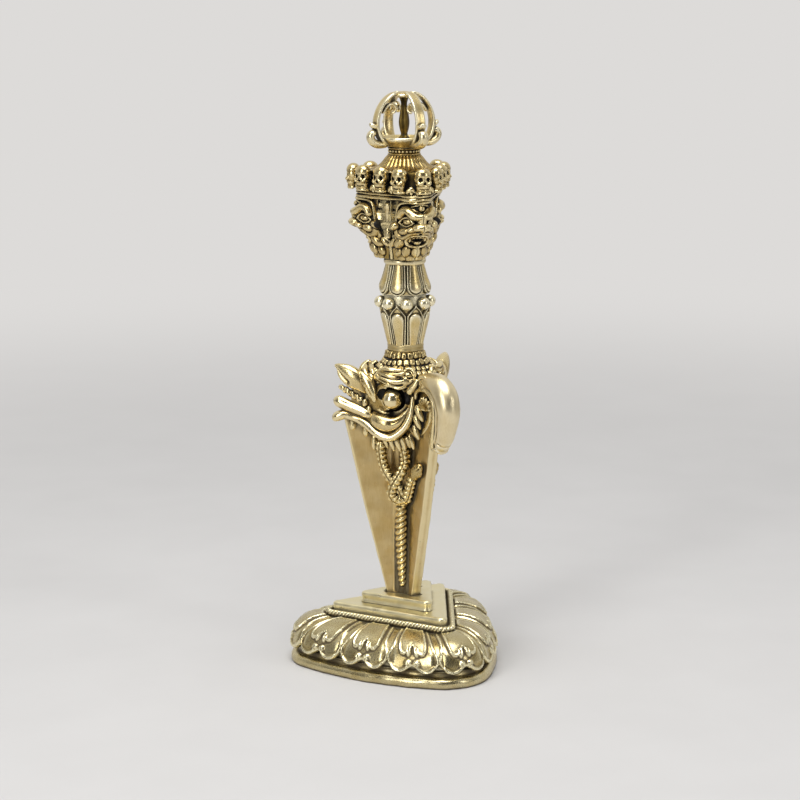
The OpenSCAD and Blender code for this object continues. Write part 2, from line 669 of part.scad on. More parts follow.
module face() {
    difference() {
        face_blank();
        // Sockets of the eyes, and the open mouth
        ball(brow_reach - 1.2, 2.7, 0.66, 1.5);
        ball(brow_reach - 1.2, -2.7, 0.66, 1.5);
        ball(brow_reach - 0.9, 0, 0.35, 1.5);
    }
    pair(brow_reach - 2.35, 2.6, 0.66, 1.2);
    // Brows, third eye, nose, cheeks, ears, tongue and the curls of the beard
    pair(brow_reach - 1.1, 1.5, 0.8, 1.1);
    pair(brow_reach - 2.6, 3.6, 0.83, 1.1);
    ball(brow_reach - 0.5, 0, 0.87, 0.75);
    ball(brow_reach + 0.2, 0, 0.59, 1.3);
    ball(brow_reach - 0.6, 0, 0.69, 1);
    pair(brow_reach - 0.7, 1.2, 0.56, 0.85);
    pair(brow_reach - 2.4, 2.7, 0.47, 1.35);
    pair(rod_seat + 0.8, 4.3, 0.57, 1.1);
    ball(brow_reach - 2.2, 0, 0.33, 1);
    pair(chin_reach + 0.1, 1.4, 0.2, 1.05);
    pair(chin_reach - 0.9, 3.1, 0.22, 1.2);
    ball(chin_reach + 0.2, 0, 0.14, 1.1);
}
module front_face() {
    color(brass) toward_face(0) face();
}
module right_face() {
    color(brass) toward_face(1) face();
}
module left_face() {
    color(brass) toward_face(2) face();
}
module bone_rods() {
    low = heads_z + 0.36 * heads_h;
    rod_l = 0.56 * heads_h;
    color(brass) for (k = [0 : 2]) toward_face(k) rotate(60)
        translate([rod_seat + rod_d / 2, 0, low]) {
            cylinder(h = rod_l, d = rod_d);
            translate([0.1, 0, rod_l]) sphere(d = rod_d * 1.05);
            translate([0.1, 0, rod_l * 0.25]) cylinder(h = rod_l * 0.1, d = rod_d * 1.1);
        }
}

// Crown
band_points = 24;
band_spread = crown_spread + 0.5;
band_round = crown_round - 0.1;
module crown_band() {
    groove = 0.35;
    h = band_h;
    color(brass) toward_face(0) skin([for (l = [[0, groove], [0.12, 0], [0.36, 0], [0.44, groove],
        [0.54, groove], [0.62, 0], [0.88, 0], [1, groove]])
        tier(band_spread, band_round - l[1], 0, band_z + l[0] * h, band_points)]);
}
cup_points = 36;
module cup_form() {
    translate([0, 0, crown_z]) linear_extrude(crown_h - cup_drop)
        polygon([for (p = tier(crown_spread, crown_round, 0, 0, cup_points)) [p.x, p.y]]);
}
module at_skulls() {
    for (k = [0 : 2]) {
        rotate(120 * k) translate([crown_spread + crown_round, 0, crown_z]) children();
        for (i = [-1 : 1]) rotate(120 * k + 60)
            translate([crown_spread / 2 + crown_round, i * skull_pitch, crown_z]) children();
    }
}
module crown_cup() {
    color(dark_brass) toward_face(0) cup_form();
}
module skull() {
    r = skull_w / 2;
    difference() {
        union() {
            translate([0.8, 0, crown_h - r]) sphere(r);
            translate([0.6, 0, 0.6]) cylinder(h = crown_h * 0.55, r1 = r * 0.6, r2 = r * 0.85);
            translate([1.3, 0, 1.2]) sphere(r * 0.55);
        }
        for (side = [-1, 1]) translate([0.8 + r * 0.95, side * r * 0.42, crown_h - r * 1.35])
            sphere(r * 0.3);
        translate([0.8 + r * 0.9, 0, crown_h - r * 1.85]) sphere(r * 0.2);
    }
}
module skulls() {
    color(brass) toward_face(0) difference() {
        at_skulls() skull();
        cup_form();
    }
}

// Half vajra on the drawn-up hair
module hair_cone() {
    n = 2 * hair_strands;
    function hair_ring(r, z) = [for (j = [0 : n - 1]) let (a = 360 * j / n,
        q = j % 2 == 0 ? r : r - 0.3) [q * cos(a), q * sin(a), z]];
    low_r = crown_spread / 2 + crown_round - 0.4;
    top_r = collar_r - 0.1;
    color(brass) skin([hair_ring(low_r, hair_z),
        hair_ring(mix(low_r, top_r, 0.6), hair_z + hair_h * 0.45), hair_ring(top_r, collar_z)]);
}
module vajra_collar() {
    rim = 0.3;
    h = collar_h;
    color(brass) translate([0, 0, collar_z]) rotate_extrude() polygon([[0, 0],
        [collar_r, 0], [collar_r, rim], [collar_r - rim, rim * 1.4],
        [collar_r - rim, h - rim * 1.4], [collar_r, h - rim], [collar_r, h], [0, h]]);
}
cage_foot_h = 1.1;
cage_foot_r = 2.6;
boss_h = 1.4;
boss_r = 2.1;
// [share of the cage's reach, share of its height, half width]
function cage_line(points) = [for (p = points) [p[0] * cage_r, 0, cage_z + p[1] * cage_h, p[2]]];
module vajra_prongs() {
    half = prong_w / 2;
    color(bright_brass) rotate(trunk_vane) for (k = [0 : 3]) rotate(90 * k) {
        strand(cage_line([[0.4, 0.07, half], [0.68, 0.09, half], [0.88, 0.18, half],
            [0.98, 0.33, half], [0.98, 0.49, half], [0.89, 0.66, half], [0.71, 0.82, half],
            [0.43, 0.92, half], [0.15, 0.96, half]]), steps = 2, sides = 4, side = [0, 1, 0],
            wide = 1.2, thick = 0.5);
        strand(cage_line([[0.6, 0.08, 0.8], [0.8, 0.15, 0.9], [0.95, 0.25, 0.9], [1.12, 0.28, 0.9],
            [1.26, 0.22, 0.8], [1.27, 0.15, 0.6]]), steps = 2, sides = 4, side = [0, 1, 0],
            wide = 1.2, thick = 0.6);
        strand(cage_line([[0.98, 0.37, 0.7], [1.12, 0.38, 0.6], [1.22, 0.43, 0.3]]), steps = 1,
            sides = 4, side = [0, 1, 0], wide = 1.1, thick = 0.7);
    }
    color(bright_brass) {
        translate([0, 0, cage_z]) cylinder(h = cage_foot_h, r1 = collar_r + 0.3, r2 = cage_foot_r);
        translate([0, 0, cage_z + cage_h - boss_h]) rotate_extrude() polygon([[0, 0], [boss_r - 0.3, 0],
            [boss_r, 0.5], [boss_r - 0.5, boss_h - 0.3], [boss_r * 0.33, boss_h], [0, boss_h]]);
    }
}
module vajra_core() {
    foot = cage_z + cage_foot_h;
    top = cage_z + cage_h - boss_h;
    function square_ring(l) = [for (a = [0 : 90 : 270])
        [l[1] * cos(a), l[1] * sin(a), mix(foot, top, l[0])]];
    color(brass) skin([for (l = [[0, 1.4], [0.15, 0.8], [0.4, 1], [0.7, 0.7], [1, 1.1]])
        square_ring(l)]);
}

foot_plate();
lotus_course();
twisted_wire();
lower_step();
upper_step();
blade();
serpents_left();
serpents_right();
serpents_back();
makara_head();
makara_trunk();
makara_eyes();
makara_ears();
makara_lips();
makara_teeth();
scaled_neck();
filed_ring();
lower_grip();
bead_ring();
upper_grip();
chin_ring();
head_core();
front_face();
left_face();
right_face();
bone_rods();
crown_band();
crown_cup();
skulls();
hair_cone();
vajra_collar();
vajra_prongs();
vajra_core();
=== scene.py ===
# A phurba of cast brass that stands in a three-cornered lotus stand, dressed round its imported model.
# Sizes are in millimetres and are turned to metres when a mesh is made.
import math

import bpy
import numpy as np
from mathutils import Matrix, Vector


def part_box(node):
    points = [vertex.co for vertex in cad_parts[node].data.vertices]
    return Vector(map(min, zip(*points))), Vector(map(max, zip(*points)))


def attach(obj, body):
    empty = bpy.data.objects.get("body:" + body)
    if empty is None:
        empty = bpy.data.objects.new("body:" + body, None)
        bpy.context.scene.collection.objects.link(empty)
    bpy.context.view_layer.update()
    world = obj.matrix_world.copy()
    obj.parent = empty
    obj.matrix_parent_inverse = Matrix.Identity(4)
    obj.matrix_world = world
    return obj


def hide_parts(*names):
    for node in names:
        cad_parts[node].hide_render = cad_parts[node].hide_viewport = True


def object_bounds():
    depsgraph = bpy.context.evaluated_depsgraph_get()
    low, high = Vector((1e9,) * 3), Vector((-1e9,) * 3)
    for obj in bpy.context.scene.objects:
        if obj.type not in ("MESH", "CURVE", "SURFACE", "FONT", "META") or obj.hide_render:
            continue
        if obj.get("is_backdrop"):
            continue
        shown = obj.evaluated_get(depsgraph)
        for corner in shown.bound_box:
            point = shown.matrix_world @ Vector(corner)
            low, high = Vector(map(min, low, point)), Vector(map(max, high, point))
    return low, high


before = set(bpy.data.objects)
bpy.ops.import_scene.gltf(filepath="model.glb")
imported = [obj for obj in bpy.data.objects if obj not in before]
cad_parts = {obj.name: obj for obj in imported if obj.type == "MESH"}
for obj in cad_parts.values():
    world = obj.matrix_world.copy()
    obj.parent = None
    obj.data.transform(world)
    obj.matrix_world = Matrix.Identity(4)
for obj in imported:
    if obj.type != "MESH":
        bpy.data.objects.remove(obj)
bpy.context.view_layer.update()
MM = 0.001


# Camera: a long lens from the left of the trunk, looking a little down on the piece.
view_azimuth = math.radians(-30)
view_pitch = math.radians(11.45)
view_roll = math.radians(-0.31)
eye = bpy.data.objects.new("camera", bpy.data.cameras.new("camera"))
bpy.context.scene.collection.objects.link(eye)
bpy.context.scene.camera = eye
bpy.context.scene.view_settings.view_transform = "Standard"
eye.data.lens = 106.65
eye.data.clip_start = 0.01
eye.matrix_world = (Matrix.Translation((-0.2430, -0.4186, 0.1539))
                    @ Matrix.Rotation(view_azimuth, 4, "Z")
                    @ Matrix.Rotation(math.pi / 2 - view_pitch, 4, "X")
                    @ Matrix.Rotation(view_roll, 4, "Z"))


# Light: a pale room, a wide lamp over the piece, a tall one from the left and a weak one from the right.
def linear(code):
    """Linear colour of an sRGB hex code."""
    parts = [int(code[i:i + 2], 16) / 255 for i in (1, 3, 5)]
    return [c / 12.92 if c <= 0.04045 else ((c + 0.055) / 1.055) ** 2.4 for c in parts] + [1]


def node(tree, kind, links=(), **settings):
    """Adds one shader node, with its settings and what goes into its sockets."""
    made = tree.nodes.new("ShaderNode" + kind)
    for name, value in settings.items():
        setattr(made, name, value)
    for socket, value in dict(links).items():
        if isinstance(value, bpy.types.NodeSocket):
            tree.links.new(value, made.inputs[socket])
        else:
            made.inputs[socket].default_value = value
    return made


def lamp(name, place, aim, width, height, watts, tint="#FFFFFF"):
    """Rectangular lamp at a place, turned to an aim. Its lengths are in metres."""
    light = bpy.data.lights.new(name, "AREA")
    light.shape = "RECTANGLE"
    light.size, light.size_y = width, height
    light.energy = watts
    light.color = linear(tint)[:3]
    holder = bpy.data.objects.new(name, light)
    bpy.context.scene.collection.objects.link(holder)
    way = Matrix.Translation(place).to_translation() - Matrix.Translation(aim).to_translation()
    holder.matrix_world = Matrix.Translation(place) @ way.to_track_quat("Z", "Y").to_matrix().to_4x4()


lamp("overhead", (-0.1, -0.12, 0.7), (0, 0, 0.05), 0.45, 0.4, 3.8)
lamp("left_panel", (-0.62, -0.3, 0.34), (0, 0, 0.06), 0.18, 0.5, 1.7)
lamp("right_panel", (0.3, -0.62, 0.3), (0, 0, 0.06), 0.12, 0.4, 0.6)

room = bpy.data.worlds.new("pale_room")
bpy.context.scene.world = room
room.use_nodes = True
tree = room.node_tree
tree.nodes.clear()
seen = node(tree, "LightPath")
# The wall behind the piece is lit, and the rest of the room falls off to grey in what the metal shows
toward = node(tree, "VectorMath", {0: node(tree, "TexCoord").outputs["Generated"], 1: (0.5, 0.866, 0.25)},
              operation="DOT_PRODUCT")
wall = node(tree, "MapRange", {"Value": toward.outputs["Value"], "From Min": -0.6, "From Max": 0.75,
                               "To Min": 0.1, "To Max": 0.85}, interpolation_type="SMOOTHSTEP")
dim = node(tree, "Background", {"Color": linear("#E9EAEC"), "Strength": 0.42})
shown = node(tree, "Background", {"Color": linear("#EDECEA"), "Strength": wall.outputs[0]})
white = node(tree, "Background", {"Color": linear("#E4E2E0"), "Strength": 1.0})
part = node(tree, "MixShader", {0: seen.outputs["Is Glossy Ray"], 1: dim.outputs[0], 2: shown.outputs[0]})
both = node(tree, "MixShader", {0: seen.outputs["Is Camera Ray"], 1: part.outputs[0], 2: white.outputs[0]})
node(tree, "OutputWorld", {"Surface": both.outputs[0]})


# Floor: a sheet of matt studio paper that lies flat under the piece.
# Only a faint tooth and a soft shadow show on it, so the brass stands out.
def mesh_object(name, points, faces, smooth=True):
    """Object from points in millimetres and quads or triangles, kept as arrays."""
    mesh = bpy.data.meshes.new(name)
    mesh.vertices.add(len(points))
    mesh.vertices.foreach_set("co", np.asarray(points, np.float32).ravel() * MM)
    sizes = np.array([len(f) for f in faces]) if isinstance(faces, list) \
        else np.full(len(faces), faces.shape[1])
    corners = np.concatenate([np.asarray(f) for f in faces]) if isinstance(faces, list) \
        else faces.ravel()
    mesh.loops.add(len(corners))
    mesh.loops.foreach_set("vertex_index", corners.astype(np.int32))
    mesh.polygons.add(len(sizes))
    mesh.polygons.foreach_set("loop_start", np.concatenate([[0], np.cumsum(sizes)[:-1]]).astype(np.int32))
    mesh.polygons.foreach_set("use_smooth", np.full(len(sizes), smooth))
    mesh.update(calc_edges=True)
    mesh.validate()
    made = bpy.data.objects.new(name, mesh)
    bpy.context.scene.collection.objects.link(made)
    return made


floor_size = 20000
floor = mesh_object("floor", [[-floor_size, -floor_size, 0], [floor_size, -floor_size, 0],
                              [floor_size, floor_size, 0], [-floor_size, floor_size, 0]],
                    np.array([[0, 1, 2, 3]]))
paper = bpy.data.materials.new("pale_studio_paper")
paper.use_nodes = True
tree = paper.node_tree
tree.nodes.clear()
tooth_per_mm = 1.5
tooth = node(tree, "TexNoise", {"Scale": tooth_per_mm / MM, "Detail": 3.0})
shade = node(tree, "MixRGB", {0: tooth.outputs["Fac"], 1: linear("#CBC9C7"), 2: linear("#D3D1CF")})
near = node(tree, "BsdfPrincipled", {"Base Color": shade.outputs[0], "Roughness": 0.9})
# Away from the piece, camera rays see the paper as an even pale emission
far = node(tree, "Emission", {"Color": linear("#DDDBD9"), "Strength": 1.0})
spot = node(tree, "VectorMath", {0: node(tree, "NewGeometry").outputs["Position"]}, operation="LENGTH")
rise = node(tree, "MapRange", {"Value": spot.outputs["Value"], "From Min": 0.08, "From Max": 0.55},
            interpolation_type="SMOOTHERSTEP")
shown = node(tree, "Math", {0: rise.outputs[0], 1: node(tree, "LightPath").outputs["Is Camera Ray"]},
             operation="MULTIPLY")
both = node(tree, "MixShader", {0: shown.outputs[0], 1: near.outputs[0], 2: far.outputs[0]})
node(tree, "OutputMaterial", {"Surface": both.outputs[0]})
floor.data.materials.append(paper)
floor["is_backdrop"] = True


# Foot plate: the flat ring of the stand, one casting with its petals, its edge polished round.
# Three corners on circles, joined by shallow arcs, with one corner under each vane.
corner_spread = 14.6
foot_round = 9.9
foot_bow = 1.9
first_vane = math.radians(-90)
SIXTY = math.radians(60)


def three_corner(spread, round_r, bow, turn):
    """Points and outward directions of the rounded triangle, at shares of a turn from a corner."""
    spread, round_r, bow, turn = np.broadcast_arrays(*[np.asarray(v, float) for v in
                                                        (spread, round_r, bow, turn)])
    b = 2 * np.arctan(np.maximum(bow, 0.001) / (spread * math.sin(SIXTY)))
    big = round_r + spread * math.sin(SIXTY) / np.sin(b)
    corner, side = round_r * (SIXTY - b), big * 2 * b
    k = np.floor(turn * 3)
    s = (turn * 3 - k) * (2 * corner + side)
    way = np.where(s < corner, s / round_r, np.where(
        s < corner + side, SIXTY - b + (s - corner) / big,
        SIXTY + b + (s - corner - side) / round_r))
    first, last = way < SIXTY - b, way > SIXTY + b
    mid = spread / 2 - (big - round_r) * np.cos(b)
    cx = np.where(first, spread, np.where(last, -spread / 2, mid * math.cos(SIXTY)))
    cy = np.where(first, 0, np.where(last, spread * math.sin(2 * SIXTY), mid * math.sin(SIXTY)))
    r = np.where(first | last, round_r, big)
    x, y = cx + r * np.cos(way), cy + r * np.sin(way)
    a = first_vane + 2 * SIXTY * k
    out = way + a
    return (np.stack([x * np.cos(a) - y * np.sin(a), x * np.sin(a) + y * np.cos(a)], -1),
            np.stack([np.cos(out), np.sin(out)], -1))


def grid(rows, columns, closed=False):
    """Quads over rows of points that run round. closed joins the last row to the first."""
    i = np.arange(rows if closed else rows - 1)[:, None]
    j = np.arange(columns)[None, :]
    up, right = (i + 1) % rows, (j + 1) % columns
    return np.stack([i * columns + j, i * columns + right, up * columns + right,
                     up * columns + j], -1).reshape(-1, 4)


def capped(rows, columns):
    """The same, with a many-sided face at each end."""
    last = (rows - 1) * columns
    return [*grid(rows, columns), list(range(columns))[::-1], list(range(last, last + columns))]


def wobble(points, size, amount, seed=0):
    """Slow unevenness of a hand-finished casting, from a few crossed waves."""
    draw = np.random.default_rng(seed)
    total = np.zeros(len(points))
    waves, usual_height = 7, 2.6
    for _ in range(waves):
        way = draw.normal(size=3)
        way *= 2 * math.pi / size / np.linalg.norm(way) * draw.uniform(0.6, 1.6)
        total += np.sin(points @ way + draw.uniform(0, 6.28))
    return amount * total[:, None] / usual_height


def normals_of(made):
    n = np.zeros(len(made.data.vertices) * 3, np.float32)
    made.data.vertices.foreach_get("normal", n)
    return n.reshape(-1, 3)


def points_of(made):
    co = np.zeros(len(made.data.vertices) * 3, np.float32)
    made.data.vertices.foreach_get("co", co)
    return co.reshape(-1, 3).astype(float) / MM


def set_points(made, points):
    made.data.vertices.foreach_set("co", np.asarray(points, np.float32).ravel() * MM)
    made.data.update()


def edge_ends(made):
    """The two points that each edge joins."""
    ends = np.zeros(len(made.data.edges) * 2, np.int32)
    made.data.edges.foreach_get("vertices", ends)
    return ends.reshape(-1, 2)


def softened(made, points, rounds, share=0.5):
    """Points moved towards the middle of their neighbours."""
    ends = edge_ends(made)
    a, b = ends.T
    count = np.bincount(ends.ravel(), minlength=len(points))[:, None]
    for _ in range(rounds):
        total = np.stack([np.bincount(a, points[b, k], len(points))
                          + np.bincount(b, points[a, k], len(points)) for k in range(3)], -1)
        points = points + share * (total / count - points)
    return points


def mark_relief(made, reach):
    """Stores how far each point stands over (+) or under (-) its surroundings, in millimetres."""
    points = points_of(made)
    a, b = edge_ends(made).T
    edge = float(np.median(np.linalg.norm(points[a] - points[b], axis=1)))
    # Softening reaches out by about an edge times the root of half its rounds
    rounds = int(min(60, max(3, (reach / edge) ** 2 * 2)))
    over = ((points - softened(made, points, rounds)) * normals_of(made)).sum(1)
    layer = made.data.attributes.new("relief", "FLOAT", "POINT")
    layer.data.foreach_set("value", over.astype(np.float32))


def patina_and_shade_darkened(made, share):
    """Darkens a piece's points by a share: patina left in the ground of a relief, and beside the bone rods
    painted shade.
    A point that is darkened in full counts as 0.4 mm under its surroundings."""
    layer = made.data.attributes["relief"].data
    over = np.zeros(len(layer), np.float32)
    layer.foreach_get("value", over)
    layer.foreach_set("value", (over - 0.4 * share).astype(np.float32))


def finished(made, body, slot, material, *nodes, uneven=0.02, reach=0.6):
    """A piece gets its slight unevenness, relief marks, finish, body and the nodes it stands for."""
    points = points_of(made)
    set_points(made, points + normals_of(made) * wobble(points, size=5, amount=uneven, seed=len(made.name)))
    mark_relief(made, reach)
    made.data.materials.append(material)
    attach(made, body)
    if nodes:
        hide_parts(*nodes)
    return made


def aged_brass(name, bright, body, dark, gloss=0.3, patina=1.0, brushed=None, wear=1.0, grain_mm=0.25,
               painted_sheen_share=0.5, scratch=0.02):
    """Cast brass, blackened and rubbed back: dark in its hollows, bright where a cloth reached.
    The colour comes from the relief and from how shut in a point is, broken up by noise. How shut in a point
    is counts the floor and the other pieces too, so part of the dark is painted shade."""
    made = bpy.data.materials.new(name)
    made.use_nodes = True
    tree = made.node_tree
    tree.nodes.clear()
    place = node(tree, "TexCoord").outputs["Object"]
    relief = node(tree, "Attribute", attribute_name="relief").outputs["Fac"]
    clouds = node(tree, "TexNoise", {"Vector": place, "Scale": 1 / (3.5 * MM), "Detail": 4.0})
    fine = node(tree, "TexNoise", {"Vector": place, "Scale": 1 / (grain_mm * MM), "Detail": 3.0})
    shut = node(tree, "AmbientOcclusion", {"Distance": 1.6 * MM}, samples=8)
    # Patina, partly painted shade: from open (0) to shut in (1), and from ridge to hollow
    hollow = node(tree, "MapRange", {"Value": relief, "From Min": 0.0, "From Max": -0.09})
    inner = node(tree, "MapRange", {"Value": shut.outputs["AO"], "From Min": 0.86, "From Max": 0.4})
    joined = node(tree, "Math", {0: hollow.outputs[0], 1: inner.outputs[0]}, operation="ADD")
    broken = node(tree, "Math", {0: clouds.outputs["Fac"], 1: 0.5}, operation="SUBTRACT")
    rough_edge = node(tree, "Math", {0: broken.outputs[0], 1: 0.7, 2: joined.outputs[0]},
                      operation="MULTIPLY_ADD")
    # Share of patina and painted shade, from 0 to 1, that turns the colour dark
    black = node(tree, "MapRange", {"Value": rough_edge.outputs[0], "From Min": 0.22, "From Max": 0.95,
                                    "To Max": patina}, interpolation_type="SMOOTHSTEP")
    worn = node(tree, "MapRange", {"Value": relief, "From Min": 0.0, "From Max": 0.09, "To Max": wear})
    metal = node(tree, "MixRGB", {0: worn.outputs[0], 1: linear(body), 2: linear(bright)})
    cloudy = node(tree, "MapRange", {"Value": clouds.outputs["Fac"], "From Min": 0.35, "From Max": 0.75,
                                     "To Max": 0.4})
    mottled = node(tree, "MixRGB", {0: cloudy.outputs[0], 1: metal.outputs[0], 2: linear(bright)})
    colour = node(tree, "MixRGB", {0: black.outputs[0], 1: mottled.outputs[0], 2: linear(dark)})
    rough = node(tree, "MapRange", {"Value": fine.outputs["Fac"], "From Min": 0.3, "From Max": 0.7,
                                    "To Min": gloss - 0.06, "To Max": gloss + 0.08})
    matt = node(tree, "Math", {0: black.outputs[0], 1: 0.3, 2: rough.outputs[0]}, operation="MULTIPLY_ADD")
    bare = node(tree, "Math", {0: black.outputs[0], 1: -0.75, 2: 1.0}, operation="MULTIPLY_ADD")
    # What the skin's grain, or the brush's lines in its place, does to the light, with its depth in mm
    height = fine.outputs["Fac"]
    depth = 0.003
    if brushed is not None:
        lines = node(tree, "Mapping", {"Vector": place, "Scale": brushed})
        hairs = node(tree, "TexNoise", {"Vector": lines.outputs[0], "Scale": 1 / MM, "Detail": 4.0})
        height = hairs.outputs["Fac"]
        depth = scratch
        # Painted sheen: the colour is drawn towards the bright brass along the brush lines
        painted_sheen = node(tree, "MapRange", {"Value": height, "From Min": 0.4, "From Max": 0.68,
                                         "To Max": painted_sheen_share})
        colour = node(tree, "MixRGB", {0: painted_sheen.outputs[0], 1: colour.outputs[0], 2: linear(bright)})
    bump = node(tree, "Bump", {"Height": height, "Distance": depth * MM, "Strength": 1.0})
    skin = node(tree, "BsdfPrincipled", {"Base Color": colour.outputs[0], "Roughness": matt.outputs[0],
                                         "Metallic": bare.outputs[0], "Normal": bump.outputs[0]})
    node(tree, "OutputMaterial", {"Surface": skin.outputs[0]})
    return made


# Rubbed cast brass: pale gold wherever a cloth reaches, and brown in the chased lines
stand_finish = aged_brass("rubbed_cast_brass", "#EFE6C0", "#B3A06C", "#4A3D28", gloss=0.27, patina=0.9)


def corners_of(node_name):
    """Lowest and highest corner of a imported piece, in millimetres."""
    return [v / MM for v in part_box(node_name)]


foot_low, foot_high = corners_of("foot_plate")
course_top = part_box("lotus_course")[1].z / MM
foot_h = 2.2
# [how far in from the plate's edge, height] round the plate's rim and into the hollow over it
rim = [[2.2, 0], [0.45, 0], [0.12, 0.14], [0, 0.45], [0, 1.1], [0.1, 1.5], [0.35, 1.85], [0.75, 2.1],
       [1.2, foot_h], [1.6, foot_h + 0.05], [1.85, 2.6], [1.9, 3], [1.7, foot_high.z]]
around = 540


def cornered_rows(profile, spread, corner_r, bow, count, least=0.4):
    """Rows round a rounded triangle, from a profile of [how far in from its edge, height].
    The corners never get rounder than least."""
    turn = np.arange(count) / count
    rows = []
    for inset, z in profile:
        xy, _ = three_corner(spread, max(corner_r - inset, least), bow, turn)
        rows.append(np.column_stack([xy, np.full(count, z)]))
    return rows


def smooth_line(points, steps):
    """Points on a curve through the given ones, with whatever other values they carry."""
    p = np.asarray(points, float)
    p = np.vstack([p[:1], p, p[-1:]])
    t = np.linspace(0, 1, steps, endpoint=False)[:, None]
    out = [0.5 * (2 * p[i] + (p[i + 1] - p[i - 1]) * t
                  + (2 * p[i - 1] - 5 * p[i] + 4 * p[i + 1] - p[i + 2]) * t ** 2
                  + (3 * p[i] - p[i - 1] - 3 * p[i + 1] + p[i + 2]) * t ** 3)
           for i in range(1, len(p) - 2)]
    return np.vstack([*out, p[-2:-1]])


rows = cornered_rows(smooth_line(rim, 3), corner_spread, foot_round, foot_bow, around)
foot = mesh_object("foot_plate_rim", np.vstack(rows), capped(len(rows), around))
finished(foot, "stand", "stand_brass", stand_finish, "foot_plate", reach=0.5, uneven=0.04)
# Its underside is ground flat on the table
points = points_of(foot)
points[:, 2] = np.maximum(points[:, 2], foot_low.z)
set_points(foot, points)


# Lotus course: twelve petals chased into the sloping side, each with a heart-shaped inner leaf
# that ends in two curls, a raised rim with two lobes, and ribs in the gap to the next petal.
petals = 12
petal_half = 4.85
slope_l = 10.0
# [radius of the corners, height] down the slope, from the wire to the tips
slope = smooth_line([[2.3, 9.6], [3.9, 9.5], [5.7, 9.1], [7.4, 8.2], [8.7, 6.9], [9.35, 5.4],
                     [9.6, 4.1], [9.55, 3.3]], 8)


def bell(d, width):
    return np.exp(-(d / width) ** 2)


def step_up(d, width):
    t = np.clip(d / width, 0, 1)
    return t * t * (3 - 2 * t)


def near_line(x, y, points):
    """Distance from each point to a smooth line."""
    line = smooth_line(points, 5)
    best = np.full(x.shape, 99.0)
    for a, b in zip(line[:-1], line[1:]):
        d = b - a
        t = np.clip(((x - a[0]) * d[0] + (y - a[1]) * d[1]) / (d @ d), 0, 1)
        best = np.minimum(best, np.hypot(x - a[0] - t * d[0], y - a[1] - t * d[1]))
    return best


def petal_height(x, y):
    """Height in mm over the slope. x is across from the petal's middle, y down from the wire."""
    x = np.abs(x)
    # Inner leaf: narrow at the wire, heart-shaped below, with a notch in the middle
    half = np.interp(y, [0, 0.6, 2, 4.4, 6, 7.2], [2.1, 2.5, 2.85, 3.1, 2.95, 2.2])
    low = 7.15 - 1.5 * ((x - 1.75) / 1.75) ** 2
    inside = np.minimum(half - x, (low - y) * 0.8)
    leaf = 0.62 * step_up(inside, 0.4) + 0.12 * np.clip(1 - (x / 3) ** 2, 0, 1) \
        * np.sin(np.clip(y / 7.2, 0, 1) * math.pi) * step_up(inside, 1.2)
    leaf += 0.2 * bell(inside - 0.3, 0.2)
    # Two curls at the leaf's notch, and the dark gap between them
    curl = np.hypot((x - 0.74) / 0.5, (y - 6.2 - 0.25 * (x - 0.74)) / 0.95)
    leaf = np.maximum(leaf, 0.95 * np.sqrt(np.clip(1 - (curl / 1.15) ** 2, 0, 1)))
    leaf -= 0.4 * bell(np.hypot((x - 0.76) / 0.16, (y - 6.1) / 0.45), 1) * (curl < 1)
    leaf -= 0.35 * bell(x, 0.2) * step_up(y - 5.2, 0.4) * step_up(7.6 - y, 0.4)
    # Rim of the outer leaf, from its curl at the middle round the lobe and up the side
    path = [[0.5, 8.35], [0.85, 8.0], [1.1, 8.35], [0.95, 8.9], [1.6, 9.5], [2.5, 9.75], [3.5, 9.4],
            [4.3, 8.5], [4.65, 7.5], [4.2, 5.8], [3.85, 3.8], [3.6, 1.4], [3.5, 0.4]]
    line = near_line(x, y, path)
    rise = 0.42 * bell(line, 0.27) * np.interp(y, [0, 1.5, 6, 7.5], [0.4, 0.6, 0.7, 1])
    bead = 0.45 * np.sqrt(np.clip(1 - (np.hypot(x - 0.62, y - 8.25) / 0.5) ** 2, 0, 1))
    pan = 0.2 * step_up(4.3 - x, 0.9)
    gap = -0.12 + 0.09 * np.cos(2 * math.pi * (petal_half - x) / 0.62) * step_up(7 - y, 1) \
        * step_up(y - 0.8, 1)
    ground = np.where(x > 4.0, gap, pan)
    return np.maximum(np.maximum(leaf, ground + rise), np.where(bead > 0, bead + 0.15, -1))


def petal_end(x):
    """How far down the slope the petal's edge lies."""
    x = np.abs(x)
    return np.interp(x, [0, 0.35, 0.9, 1.6, 2.5, 3.5, 4.3, 4.85],
                     [8.75, 8.85, 9.3, 9.8, 10.0, 9.7, 8.9, 8.1])


columns_per_petal = 76
rows_down = 76
columns = petals * columns_per_petal
turn = (np.arange(columns) / columns)[None, :]
share = turn * petals
across = (share - np.round(share)) * 2 * petal_half
y = np.linspace(0, 1, rows_down)[:, None] * petal_end(across)
run = np.concatenate([[0], np.cumsum(np.linalg.norm(np.diff(slope, axis=0), axis=1))])
run *= slope_l / run[-1]
slope_r = np.interp(y, run, slope[:, 0])
slope_z = np.interp(y, run, slope[:, 1])
tilt_r = np.gradient(slope[:, 0], run)
tilt_z = np.gradient(slope[:, 1], run)
out_r = -np.interp(y, run, tilt_z)
out_z = np.interp(y, run, tilt_r)
length = np.hypot(out_r, out_z)
height = petal_height(np.broadcast_to(across, y.shape), y) * np.clip(y / 0.8, 0, 1)
bow = foot_bow * np.clip(y / slope_l, 0, 1)
xy, way = three_corner(corner_spread, slope_r, bow, np.broadcast_to(turn, y.shape))
xy = xy + (height * out_r / length)[..., None] * way
z = slope_z + height * out_z / length
front = np.dstack([xy, z])
